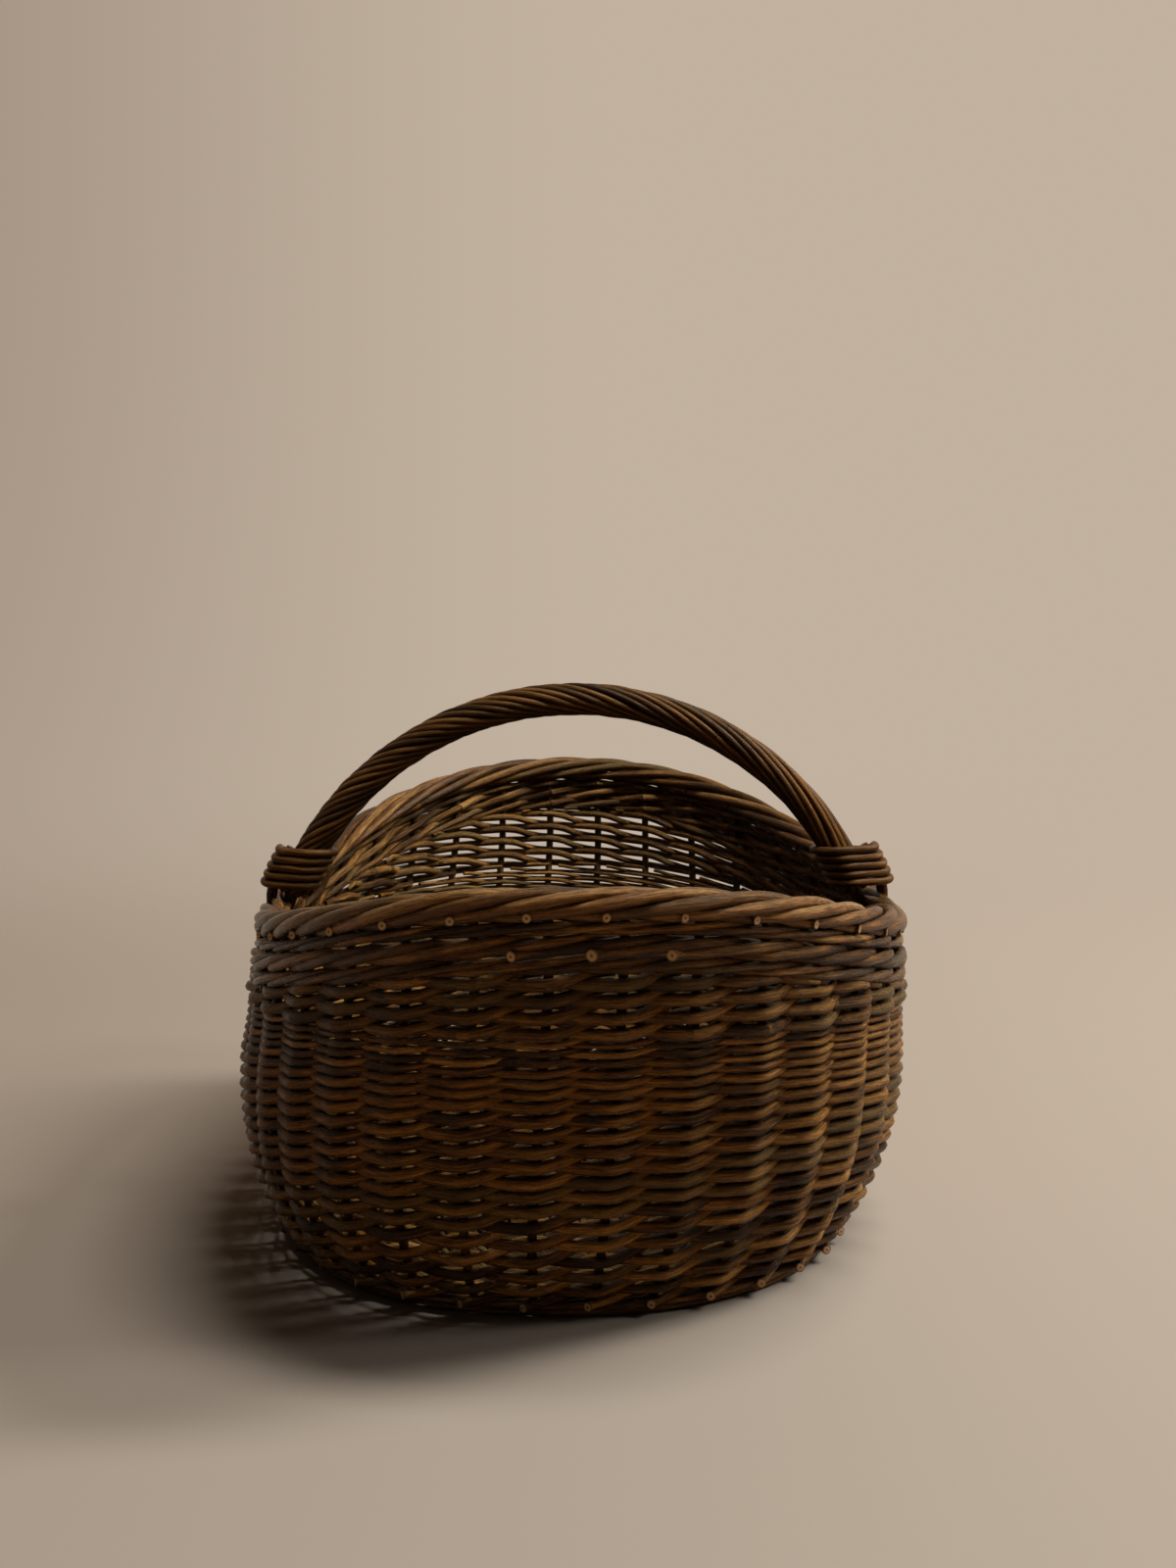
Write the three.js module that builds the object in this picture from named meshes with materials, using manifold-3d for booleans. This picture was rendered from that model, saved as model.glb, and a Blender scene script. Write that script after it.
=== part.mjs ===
// Oval basket of unpeeled willow with one bow handle across its narrow way.
// Millimetres, +Z up. X runs along the handle, Y along the long way of the oval.
// The origin is on the ground under the middle of the base.
import * as THREE from 'three';
import { mergeVertices } from 'three/addons/utils/BufferGeometryUtils.js';
import Module from 'manifold-3d';

const wasm = await Module();
wasm.setup();

// Outer size of the woven body
const baseHalfWidth = 155;
const bellyHalfWidth = 184.5;
const rimHalfWidth = 178;
const bellyHeight = 100;
const baseHalfLength = 175;
const rimHalfLength = 268;
const sideRimHeight = 180;
const endRimHeight = 230;
const rimRisePower = 1.8;
const outlinePower = 2.25;
const bellyPower = 2.8;
const endFlarePower = 0.9;
const wallThickness = 14;
// A hand-made basket leans a little: how far its middle is off to the right
const baseShift = -5.2;
const rimShift = 4.3;

// Bands of the wall
const borderHeight = 16;
const borderBulge = 1;
const borderInnerInset = 17;
const borderRound = 4;
const waleHeight = 25;
const footHeight = 22;
const sideWeaveRise = 16;
const packingLeast = 1.5;
const bandGap = 0.3;
const borderGap = 0.45;

// Relief of the weave: the wall is thinner between two stakes than over a stake,
// and the base is thinner between two cross sticks than over a stick
const weaveGroove = 3.6;
const baseGroove = 3.6;
const baseRidgeHalfWidth = 6;
const baseGrooveSlope = 4;
const baseGrooveFromEdge = 27;

// Upright stakes
const stakeCount = 36;
const stakeShift = -3.6;
const stakeRadius = 2.4;
const stakeInsert = 24;
const stakeTurnHeight = 15;
const stakeInBorder = 8;
const clearance = 0.3;

// Base with its sticks
const baseThickness = 13;
const baseGapToFoot = 14.4;
const longStickRadius = 2.5;
const longStickPitch = 6;
const longStickCount = 3;
const crossStickRadius = 3.5;
const crossStickPairs = 2;
const stickEndInset = 1.5;
const stickOpenEnd = 9;
const eyeHalfLength = 13;
const eyeHeight = 11;
const eyeThickness = 7;
const eyeSlopeLength = 3;
const eyeSlopeHeight = 3;
const slathHalfWidth = 16;

// Bow handle
const bowCentreX = 2.2;
const bowInset = 5;
const bowDrop = 62;
const bowCoreRadius = 4;
const bowFootAngle = 5;
const ropingStartAngle = 23.5;
const ropingSteps = 22;
const footSteps = 5;
const ropingRadius = 9.4;
const ropingGroove = 0.9;
const ropingStrands = 12;
const ropingTurn = 125;

// Lashings at the two ends of the roping, and the stays that they hold
const lashRodRadius = 2;
const lashGap = 0.5;
const lashPitch = 4.6;
const lashLoops = 4.55;
const lashRise = 5.8;
const loopSteps = 24;
const stayRadius = 2.5;
const stayFootInset = 4.4;
const stayTopInset = 15;
const stayFootDrop = 12;
const stayRise = 27.5;

const bowRadius = rimHalfWidth - bowInset;
const bowCentreHeight = sideRimHeight - bowDrop;
const lashStartHeight = sideRimHeight + lashRise;
const wallCentre = wallThickness / 2;
const sideWeaveTop = sideRimHeight - borderHeight - waleHeight;
const sideRows = [footHeight + bandGap, 50, 90, sideTop];

// Half width, half length and middle of the outer face at a height
function halfWidth(z) {
  if (z < bellyHeight) {
    return bellyHalfWidth - (bellyHalfWidth - baseHalfWidth) * (1 - z / bellyHeight) ** bellyPower;
  }
  const up = Math.min((z - bellyHeight) / (sideRimHeight - bellyHeight), 1);
  return bellyHalfWidth - (bellyHalfWidth - rimHalfWidth) * up * up;
}

function halfLength(z) {
  const up = Math.max(z, 0) / endRimHeight;
  return baseHalfLength + (rimHalfLength - baseHalfLength) * up ** endFlarePower;
}

function middleX(z) {
  return baseShift + (rimShift - baseShift) * Math.min(z / sideRimHeight, 1);
}

// Point of the unit outline at an angle: a slightly squared ellipse
function outline(angle) {
  const c = Math.cos(angle);
  const s = Math.sin(angle);
  const r = (Math.abs(c) ** outlinePower + Math.abs(s) ** outlinePower) ** (-1 / outlinePower);
  return [c * r, s * r];
}

// Point at a depth inside the outer face of the wall
function onWall(angle, z, inset) {
  const [u, v] = outline(angle);
  return new THREE.Vector3(
    middleX(z) + (halfWidth(z) - inset) * u,
    (halfLength(z) - inset) * v,
    z,
  );
}

// How far an angle is up the way from the low sides to the raised ends, 0 to 1
function endShare(angle) {
  const [, v] = outline(angle);
  return Math.abs(v) ** rimRisePower;
}

function rimTop(angle) {
  return sideRimHeight + (endRimHeight - sideRimHeight) * endShare(angle);
}

function sideTop(angle) {
  return sideWeaveTop + sideWeaveRise * endShare(angle);
}

// A height may be given as a number or as a function of the angle
function levelAt(height, angle) {
  return typeof height === 'function' ? height(angle) : height;
}

// Turns a closed geometry into a solid for joining and cutting, and back
function toSolid(geometry) {
  const plain = geometry.clone();
  for (const name of Object.keys(plain.attributes)) {
    if (name !== 'position') plain.deleteAttribute(name);
  }
  const merged = mergeVertices(plain, 1e-4);
  const position = merged.getAttribute('position');
  const index = Uint32Array.from(merged.index.array);
  const a = new THREE.Vector3();
  const b = new THREE.Vector3();
  const c = new THREE.Vector3();
  const kept = [];
  let volume = 0;
  for (let i = 0; i < index.length; i += 3) {
    const [p, q, r] = [index[i], index[i + 1], index[i + 2]];
    if (p === q || q === r || p === r) continue;
    a.fromBufferAttribute(position, p);
    b.fromBufferAttribute(position, q);
    c.fromBufferAttribute(position, r);
    volume += a.dot(b.cross(c));
    kept.push(p, q, r);
  }
  if (volume < 0) {
    for (let i = 0; i < kept.length; i += 3) {
      [kept[i + 1], kept[i + 2]] = [kept[i + 2], kept[i + 1]];
    }
  }
  return new wasm.Manifold(new wasm.Mesh({
    numProp: 3,
    vertProperties: Float32Array.from(position.array),
    triVerts: Uint32Array.from(kept),
  }));
}

function toGeometry(solid) {
  const mesh = solid.getMesh();
  const geometry = new THREE.BufferGeometry();
  geometry.setAttribute('position', new THREE.BufferAttribute(Float32Array.from(mesh.vertProperties), 3));
  geometry.setIndex(new THREE.BufferAttribute(Uint32Array.from(mesh.triVerts), 1));
  geometry.computeVertexNormals();
  return geometry;
}

function cut(solid, cutters) {
  let left = solid;
  for (const cutter of cutters) left = left.subtract(cutter);
  return left;
}

// A curve that bends only at its given points, one step between each two
class BentCurve extends THREE.Curve {
  constructor(points) {
    super();
    this.points = points;
  }

  getPoint(t, target = new THREE.Vector3()) {
    const last = this.points.length - 1;
    const place = Math.min(Math.max(t, 0), 1) * last;
    const i = Math.min(Math.floor(place + 1e-9), last - 1);
    return target.copy(this.points[i]).lerp(this.points[i + 1], place - i);
  }

  getPointAt(u, target) {
    return this.getPoint(u, target);
  }

  getTangentAt(u, target = new THREE.Vector3()) {
    const last = this.points.length - 1;
    const i = Math.round(u * last);
    const here = this.points[i];
    target.set(0, 0, 0);
    if (i > 0) target.add(here.clone().sub(this.points[i - 1]).normalize());
    if (i < last) target.add(this.points[i + 1].clone().sub(here).normalize());
    return target.normalize();
  }
}

function roundShape(radius, sides) {
  const shape = new THREE.Shape();
  for (let k = 0; k < sides; k += 1) {
    const angle = ((k + 0.5) / sides) * Math.PI * 2;
    const [x, y] = [radius * Math.cos(angle), radius * Math.sin(angle)];
    if (k === 0) shape.moveTo(x, y);
    else shape.lineTo(x, y);
  }
  shape.closePath();
  return shape;
}

function rod(points, radius, sides) {
  return new THREE.ExtrudeGeometry(roundShape(radius, sides), {
    steps: points.length - 1,
    extrudePath: new BentCurve(points),
  });
}

// A ring that follows the wall through the given angles. Each corner of its section
// has a depth from the outer face and a height, which may change along the outline.
function wallRing(section, angles) {
  const reach = 100;
  const profile = section.map(([inset], row) => new THREE.Vector2(reach - inset, row));
  profile.push(new THREE.Vector2(reach - section[0][0], section.length));
  const ring = new THREE.LatheGeometry(profile, angles.length);
  const position = ring.getAttribute('position');
  for (let i = 0; i < position.count; i += 1) {
    const [x, y, z] = [position.getX(i), position.getY(i), position.getZ(i)];
    const [inset, height] = section[Math.round(y) % section.length];
    const place = (Math.atan2(z, x) / (Math.PI * 2)) * angles.length + angles.length;
    const angle = angles[Math.round(place) % angles.length];
    const spot = onWall(angle, levelAt(height, angle), inset);
    position.setXYZ(i, spot.x, spot.y, spot.z);
  }
  return toSolid(ring);
}

function box(sizeX, sizeY, sizeZ, x, y, z) {
  return new THREE.BoxGeometry(sizeX, sizeY, sizeZ).translate(x, y, z);
}

// Angles that part the outline at belly height into equal lengths. The first lies
// a little to the left of the middle of the near end.
function evenAngles(count) {
  const fine = 3600;
  const first = stakeShift / bellyHalfWidth - Math.PI / 2;
  const lengths = [0];
  let before = onWall(first, bellyHeight, 0);
  for (let i = 1; i <= fine; i += 1) {
    const here = onWall(first + (i / fine) * Math.PI * 2, bellyHeight, 0);
    lengths.push(lengths[i - 1] + here.distanceTo(before));
    before = here;
  }
  const angles = [];
  let i = 0;
  for (let k = 0; k < count * 2; k += 1) {
    const wanted = (k / (count * 2)) * lengths[fine];
    while (lengths[i + 1] < wanted) i += 1;
    const part = (wanted - lengths[i]) / (lengths[i + 1] - lengths[i]);
    angles.push(first + ((i + part) / fine) * Math.PI * 2);
  }
  return angles;
}

const halfPitchAngles = evenAngles(stakeCount);
const stakeAngles = halfPitchAngles.filter((angle, k) => k % 2 === 1);
const betweenAngles = halfPitchAngles.filter((angle, k) => k % 2 === 0);

// Base: cross sticks lie half way between stakes, long sticks pass through them
const baseMiddle = baseThickness / 2;
function onBaseEdge(angle, inset = 0) {
  const [u, v] = outline(angle);
  return new THREE.Vector3(
    middleX(0) + (baseHalfWidth - baseGapToFoot - inset) * u,
    (baseHalfLength - baseGapToFoot - inset) * v,
    baseMiddle,
  );
}

const quarter = stakeCount / 4;
const crossStickY = [0];
for (let k = 1; k <= crossStickPairs; k += 1) {
  const [above, below] = [2 * k, -2 * k].map((step) => onBaseEdge(betweenAngles[quarter + step]).y);
  const y = (above - below) / 2;
  crossStickY.unshift(-y);
  crossStickY.push(y);
}
const fanY = crossStickY[crossStickY.length - 1] * 0.93;
const slathHalfLength = crossStickY[crossStickY.length - 1] + eyeThickness;

// One stake: from the base it runs out, turns up and follows the wall
function stakePath(angle) {
  const edge = onBaseEdge(angle);
  const side = Math.sign(edge.y);
  const nearEnd = Math.abs(edge.x - middleX(0)) < 2.2 * longStickPitch + longStickRadius;
  const aim = new THREE.Vector3(
    nearEnd ? edge.x : middleX(0),
    Math.abs(edge.y) < fanY ? edge.y : side * fanY,
    baseMiddle,
  );
  const inward = aim.sub(edge).normalize();
  const start = edge.clone().addScaledVector(inward, stakeInsert);
  const points = [start, edge, onWall(angle, stakeTurnHeight, wallCentre)];
  for (const row of sideRows.slice(1)) points.push(onWall(angle, levelAt(row, angle), wallCentre));
  points.push(onWall(angle, rimTop(angle) - borderHeight + stakeInBorder, wallCentre));
  return points;
}

const stakePaths = stakeAngles.map(stakePath);
const stakes = stakePaths.map((points) => {
  const last = points.length - 1;
  const start = points[0].clone().sub(points[1]).normalize();
  const end = points[last].clone().sub(points[last - 1]).normalize();
  const longer = points.map((p) => p.clone());
  longer[0].addScaledVector(start, clearance);
  longer[last].addScaledVector(end, clearance);
  return {
    geometry: rod(points, stakeRadius, 5),
    space: toSolid(rod(longer, (stakeRadius + clearance) * Math.SQRT2, 4)),
  };
});
const stakeSpace = stakes.map((stake) => stake.space);

function alongPath(points, z) {
  for (let i = 1; i < points.length; i += 1) {
    if (z <= points[i].z || i === points.length - 1) {
      const part = (z - points[i - 1].z) / (points[i].z - points[i - 1].z);
      return points[i - 1].clone().lerp(points[i], part);
    }
  }
  return points[0].clone();
}

// A band of the wall with a channel for each stake. It is drawn flat as one cell
// with one hole, and each cell is bent on to its place on the wall, row by row. A
// band that does not go all round has its first cell and its count of cells.
const channelAlong = stakeRadius + clearance;
const channelAcross = stakeRadius + clearance * 2;
const cellCorners = [[0, 0], [0.5, 0], [1, 0], [1, 1], [0.5, 1], [0, 1]];
const flatCell = new THREE.Shape(cellCorners.map(([x, y]) => new THREE.Vector2(x, y)));
flatCell.holes.push(new THREE.Path(
  [[0.4, 0.4], [0.4, 0.6], [0.6, 0.6], [0.6, 0.4]].map(([x, y]) => new THREE.Vector2(x, y)),
));

function channelCorner(k, z, along, across) {
  const [u, v] = outline(stakeAngles[k] + 0.001);
  const [u0, v0] = outline(stakeAngles[k] - 0.001);
  const tangent = new THREE.Vector3((u - u0) * rimHalfWidth, (v - v0) * rimHalfLength, 0).normalize();
  const outward = new THREE.Vector3(tangent.y, -tangent.x, 0);
  return alongPath(stakePaths[k], z)
    .addScaledVector(tangent, along * channelAlong)
    .addScaledVector(outward, across * channelAcross);
}

// No groove where the handle's feet go down
function grooveAt(gap, groove) {
  return gap % (stakeCount / 2) === stakeCount / 4 ? 0 : groove;
}

function wallBand(heights, groove, firstCell = 0, cells = stakeCount) {
  const rows = heights.length - 1;
  const cell = new THREE.ExtrudeGeometry(flatCell, { depth: rows, steps: rows, bevelEnabled: false });
  const flat = cell.getAttribute('position');
  const whole = cells === stakeCount;
  const heightAt = (row, angle) => levelAt(heights[Math.round(row)], angle);
  const spots = [];
  for (let n = 0; n < cells; n += 1) {
    const k = (firstCell + n) % stakeCount;
    for (let i = 0; i < flat.count; i += 3) {
      const xs = [0, 1, 2].map((corner) => flat.getX(i + corner));
      const onStart = xs.every((x) => x < 0.01);
      const onEnd = xs.every((x) => x > 0.99);
      if ((onStart && (whole || n > 0)) || (onEnd && (whole || n < cells - 1))) continue;
      for (let corner = 0; corner < 3; corner += 1) {
        const [x, y, row] = [xs[corner], flat.getY(i + corner), flat.getZ(i + corner)];
        if (y > 0.01 && y < 0.99) {
          const ends = [betweenAngles[k], betweenAngles[(k + 1) % stakeCount]];
          const [from, to] = ends.map((angle) => onWall(angle, heightAt(row, angle), wallCentre));
          const corner3 = channelCorner(k, (from.z + to.z) / 2, Math.sign(x - 0.5), Math.sign(y - 0.5));
          const step = to.clone().sub(from).setZ(0);
          const share = corner3.clone().sub(from).setZ(0).dot(step) / step.lengthSq();
          corner3.z = from.z + (to.z - from.z) * share;
          spots.push(...corner3.toArray());
        } else {
          const gap = (k + Math.round(x)) % stakeCount;
          const overStake = Math.abs(x - 0.5) < 0.01;
          const angle = overStake ? stakeAngles[k] : betweenAngles[gap];
          const thinner = overStake ? 0 : grooveAt(gap, groove);
          const inset = thinner + (1 - y) * (wallThickness - 2 * thinner);
          spots.push(...onWall(angle, heightAt(row, angle), inset).toArray());
        }
      }
    }
  }
  const band = new THREE.BufferGeometry();
  band.setAttribute('position', new THREE.Float32BufferAttribute(spots, 3));
  return toSolid(band);
}

// Bow: one rod in a round arch, with its feet pushed down inside the wall
function bowPoint(degrees, out = 0, across = 0) {
  const a = THREE.MathUtils.degToRad(degrees);
  return new THREE.Vector3(
    bowCentreX + (bowRadius + out) * Math.cos(a),
    across,
    bowCentreHeight + (bowRadius + out) * Math.sin(a),
  );
}

const bowAngles = [];
for (let k = 0; k < footSteps; k += 1) {
  bowAngles.push(-bowFootAngle + ((ropingStartAngle + bowFootAngle) * k) / footSteps);
}
const ropingSpan = 180 - 2 * ropingStartAngle;
for (let k = 0; k <= ropingSteps; k += 1) {
  bowAngles.push(ropingStartAngle + (ropingSpan * k) / ropingSteps);
}
for (let k = footSteps - 1; k >= 0; k -= 1) bowAngles.push(180 - bowAngles[k]);

const bowPoints = bowAngles.map((degrees) => bowPoint(degrees));
const bowGeometry = rod(bowPoints, bowCoreRadius, 8);
const bowLonger = [bowPoint(-bowFootAngle - 0.2), ...bowPoints.slice(1, -1), bowPoint(180.2 + bowFootAngle)];
const bowSpace = toSolid(rod(bowLonger, bowCoreRadius + clearance * 1.15, 8));

// Roping: willow strands laid side by side round the bow, here one grooved sleeve
function ropingSolid() {
  const sleeve = new THREE.CylinderGeometry(1, 1, ropingSteps, ropingStrands * 2, ropingSteps);
  const position = sleeve.getAttribute('position');
  for (let i = 0; i < position.count; i += 1) {
    const [x, y, z] = [position.getX(i), position.getY(i), position.getZ(i)];
    const degrees = ropingStartAngle + (ropingSpan * (y + ropingSteps / 2)) / ropingSteps;
    const along = THREE.MathUtils.degToRad(degrees) * bowRadius;
    const turn = Math.atan2(z, x);
    const around = turn - (along / ropingTurn) * Math.PI * 2;
    const groove = Math.round((turn / Math.PI) * ropingStrands + ropingStrands * 2) % 2;
    const radius = Math.hypot(x, z) * (ropingRadius - groove * ropingGroove);
    const spot = bowPoint(degrees, radius * Math.cos(around), -radius * Math.sin(around));
    position.setXYZ(i, spot.x, spot.y, spot.z);
  }
  return toSolid(sleeve).subtract(bowSpace);
}

// Stays: short rods that rise out of the border and lean in to the roping
function stayPath(side) {
  const face = middleX(sideRimHeight) + side * (rimHalfWidth + borderBulge);
  const lean = [[0.02, 0], [0.29, 0.12], [0.58, 0.42], [1, 1]];
  const foot = new THREE.Vector3(face - side * stayFootInset, 0, sideRimHeight - stayFootDrop);
  return [foot, ...lean.map(([up, inward]) => new THREE.Vector3(
    face - side * (stayFootInset + (stayTopInset - stayFootInset) * inward),
    0,
    sideRimHeight + stayRise * up,
  ))];
}

// Lashing: one rod wound round the end of the roping and the stay beside it
function lashingPath(side) {
  const stay = stayPath(side);
  const points = [];
  const total = Math.round(lashLoops * loopSteps);
  for (let k = 0; k <= total; k += 1) {
    const turn = (k / loopSteps) * Math.PI * 2;
    const z = lashStartHeight + (k / loopSteps) * lashPitch;
    const sine = (z - bowCentreHeight) / bowRadius;
    const cosine = Math.sqrt(1 - sine * sine);
    const bowX = bowCentreX + side * bowRadius * cosine;
    const stayX = alongPath(stay, z).x;
    const round = ropingRadius + lashGap + lashRodRadius;
    const wide = ropingRadius / cosine + lashGap + lashRodRadius;
    const small = stayRadius + lashGap + lashRodRadius + clearance;
    const normal = new THREE.Vector2(-Math.cos(turn), -Math.sin(turn));
    const size = Math.hypot(wide * normal.x, round * normal.y);
    const bowSpot = new THREE.Vector2(
      bowX + (side * wide * wide * normal.x) / size,
      (round * round * normal.y) / size,
    );
    const staySpot = new THREE.Vector2(stayX + side * small * normal.x, small * normal.y);
    const bowReach = side * bowSpot.x * normal.x + bowSpot.y * normal.y;
    const stayReach = side * staySpot.x * normal.x + staySpot.y * normal.y;
    const spot = bowReach > stayReach ? bowSpot : staySpot;
    points.push(new THREE.Vector3(spot.x, spot.y, z));
  }
  return points;
}

function leastGap(points, radius) {
  let least = Infinity;
  for (let i = 0; i < points.length; i += 1) {
    for (let j = i + loopSteps / 2; j < points.length; j += 1) {
      least = Math.min(least, points[i].distanceTo(points[j]) - 2 * radius);
    }
  }
  return least;
}

const stayPaths = { right: stayPath(1), left: stayPath(-1) };
const staySpace = Object.values(stayPaths).map((path) => {
  const longer = path.map((p) => p.clone());
  longer[0].z -= clearance;
  return toSolid(rod(longer, stayRadius + clearance * 1.25, 6));
});

// Colours of the bark
const bark = {
  stake: new THREE.MeshStandardMaterial({ color: 0x3a2718, roughness: 0.6, metalness: 0 }),
  weave: new THREE.MeshStandardMaterial({ color: 0x563b24, roughness: 0.55, metalness: 0 }),
  border: new THREE.MeshStandardMaterial({ color: 0x6a4a2e, roughness: 0.5, metalness: 0 }),
  handle: new THREE.MeshStandardMaterial({ color: 0x4b301a, roughness: 0.5, metalness: 0 }),
  base: new THREE.MeshStandardMaterial({ color: 0x4a3422, roughness: 0.65, metalness: 0 }),
};

const basket = new THREE.Group();
function add(name, geometry, material) {
  const mesh = new THREE.Mesh(geometry, material.clone());
  mesh.name = name;
  basket.add(mesh);
}

// Base weave: an oval plate round the crossed sticks
const plateShape = new THREE.Shape();
const opening = new THREE.Path();
betweenAngles.forEach((angle, k) => {
  const spot = onBaseEdge(angle);
  if (k === 0) plateShape.moveTo(spot.x, spot.y);
  else plateShape.lineTo(spot.x, spot.y);
});
plateShape.closePath();
const corner = 3;
[
  [slathHalfWidth, slathHalfLength - corner], [slathHalfWidth - corner, slathHalfLength],
  [corner - slathHalfWidth, slathHalfLength], [-slathHalfWidth, slathHalfLength - corner],
  [-slathHalfWidth, corner - slathHalfLength], [corner - slathHalfWidth, -slathHalfLength],
  [slathHalfWidth - corner, -slathHalfLength], [slathHalfWidth, corner - slathHalfLength],
].forEach(([x, y], k) => {
  if (k === 0) opening.moveTo(middleX(0) + x, y);
  else opening.lineTo(middleX(0) + x, y);
});
opening.closePath();
plateShape.holes.push(opening);
const plate = toSolid(new THREE.ExtrudeGeometry(plateShape, { depth: baseThickness, bevelEnabled: false }));

const stickSpace = [];
const longSticks = [];
for (let k = 0; k < longStickCount; k += 1) {
  const x = middleX(0) + (k - (longStickCount - 1) / 2) * longStickPitch;
  const end = onBaseEdge(Math.PI / 2).y - stickEndInset;
  const longPoints = (reach) => [-reach, reach].map((y) => new THREE.Vector3(x, y, baseMiddle));
  longSticks.push(rod(longPoints(end), longStickRadius, 8));
  stickSpace.push(toSolid(rod(longPoints(end + stickOpenEnd), longStickRadius + clearance * 1.15, 8)));
}

// Each cross stick has an eye in its middle, where the long sticks pass through
const eyeShape = new THREE.Shape();
const [eyeX, eyeZ] = [eyeHalfLength, eyeHeight / 2];
const [flatX, flatZ] = [eyeX - eyeSlopeLength, eyeZ - eyeSlopeHeight];
eyeShape.moveTo(-eyeX, -flatZ);
[[-flatX, -eyeZ], [flatX, -eyeZ], [eyeX, -flatZ], [eyeX, flatZ], [flatX, eyeZ], [-flatX, eyeZ], [-eyeX, flatZ]]
  .forEach(([x, z]) => eyeShape.lineTo(x, z));
eyeShape.closePath();
const slotX = ((longStickCount - 1) / 2) * longStickPitch + longStickRadius + clearance;
const slotZ = longStickRadius + clearance;

function crossPoints(y, reach) {
  return [-reach, reach].map((x) => new THREE.Vector3(middleX(0) + x, y, baseMiddle));
}

const crossSticks = crossStickY.map((y) => {
  const v = y / (baseHalfLength - baseGapToFoot);
  const share = (1 - Math.abs(v) ** outlinePower) ** (1 / outlinePower);
  const end = (baseHalfWidth - baseGapToFoot) * share - stickEndInset;
  const eye = new THREE.ExtrudeGeometry(eyeShape, { depth: eyeThickness, bevelEnabled: false })
    .rotateX(Math.PI / 2)
    .translate(middleX(0), y + eyeThickness / 2, baseMiddle);
  const slot = box(2 * slotX, eyeThickness * 2, 2 * slotZ, middleX(0), y, baseMiddle);
  stickSpace.push(toSolid(rod(crossPoints(y, end + stickOpenEnd), crossStickRadius + clearance * 1.15, 8)));
  return toSolid(rod(crossPoints(y, end), crossStickRadius, 8)).add(toSolid(eye)).subtract(toSolid(slot));
});

// Grooves of the base weave: between each two cross sticks, left and right, above and below
const lyingAlongX = new THREE.Matrix4().makeBasis(
  new THREE.Vector3(0, 1, 0),
  new THREE.Vector3(0, 0, 1),
  new THREE.Vector3(1, 0, 0),
);
const baseGrooves = [];
for (let k = 1; k < crossStickY.length; k += 1) {
  const from = crossStickY[k - 1] + baseRidgeHalfWidth;
  const to = crossStickY[k] - baseRidgeHalfWidth;
  const v = Math.max(Math.abs(from), Math.abs(to)) / (baseHalfLength - baseGapToFoot);
  const start = slathHalfWidth + baseRidgeHalfWidth;
  const reach = (1 - v ** outlinePower) ** (1 / outlinePower);
  const end = (baseHalfWidth - baseGapToFoot) * reach - baseGrooveFromEdge;
  const section = new THREE.Shape([
    [from - baseGrooveSlope, baseMiddle + baseGroove], [from + baseGrooveSlope, baseMiddle - baseGroove],
    [to - baseGrooveSlope, baseMiddle - baseGroove], [to + baseGrooveSlope, baseMiddle + baseGroove],
  ].map(([y, z]) => new THREE.Vector2(y, z)));
  const groove = new THREE.ExtrudeGeometry(section, { depth: end - start, bevelEnabled: false })
    .applyMatrix4(lyingAlongX)
    .translate(start, 0, 0);
  for (const [side, face] of [[1, 1], [1, -1], [-1, 1], [-1, -1]]) {
    baseGrooves.push(toSolid(groove.clone().scale(side, 1, face).translate(middleX(0), 0, baseMiddle)));
  }
}
add('base_weave', toGeometry(cut(plate, [...stickSpace, ...stakeSpace, ...baseGrooves])), bark.base);
longSticks.forEach((geometry, k) => add(`base_long_stick_${k + 1}`, geometry, bark.stake));
crossSticks.forEach((solid, k) => add(`base_cross_stick_${k + 1}`, toGeometry(solid), bark.stake));
stakes.forEach((stake, k) => add(`stake_${String(k + 1).padStart(2, '0')}`, stake.geometry, bark.stake));

// Foot wale: stands on the ground outside the base and grips the turned-up stakes
const foot = wallRing([
  [0, 0],
  [0, footHeight],
  [wallThickness, footHeight],
  [wallThickness, 0],
], betweenAngles);
add('foot_wale', toGeometry(cut(foot, stakeSpace)), bark.weave);

// Side weave, a little higher at the two ends
add('side_weave', toGeometry(wallBand(sideRows, weaveGroove).subtract(bowSpace)), bark.weave);

// Packing: the extra weave that raises the two ends
const waleBottom = (angle) => rimTop(angle) - borderHeight - waleHeight + bandGap;
const packBottom = (angle) => sideTop(angle) + bandGap;
const packTop = (angle) => waleBottom(angle) - bandGap;
const raised = betweenAngles.map((angle) => packTop(angle) > packBottom(angle) + packingLeast);
const packingCells = raised.filter((up, k) => k < stakeCount / 2 && up).length - 1;
const packStart = raised.findIndex((up, k) => up && k > stakeCount / 4);
for (const [name, start] of [['far', packStart], ['near', packStart + stakeCount / 2]]) {
  const packing = wallBand([packBottom, packTop], weaveGroove, start, packingCells);
  add(`packing_${name}_end`, toGeometry(packing), bark.weave);
}

// Top wale, level with the rim
const waleTop = (angle) => rimTop(angle) - borderHeight;
add('top_wale', toGeometry(wallBand([waleBottom, waleTop], 0).subtract(bowSpace)), bark.weave);

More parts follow.
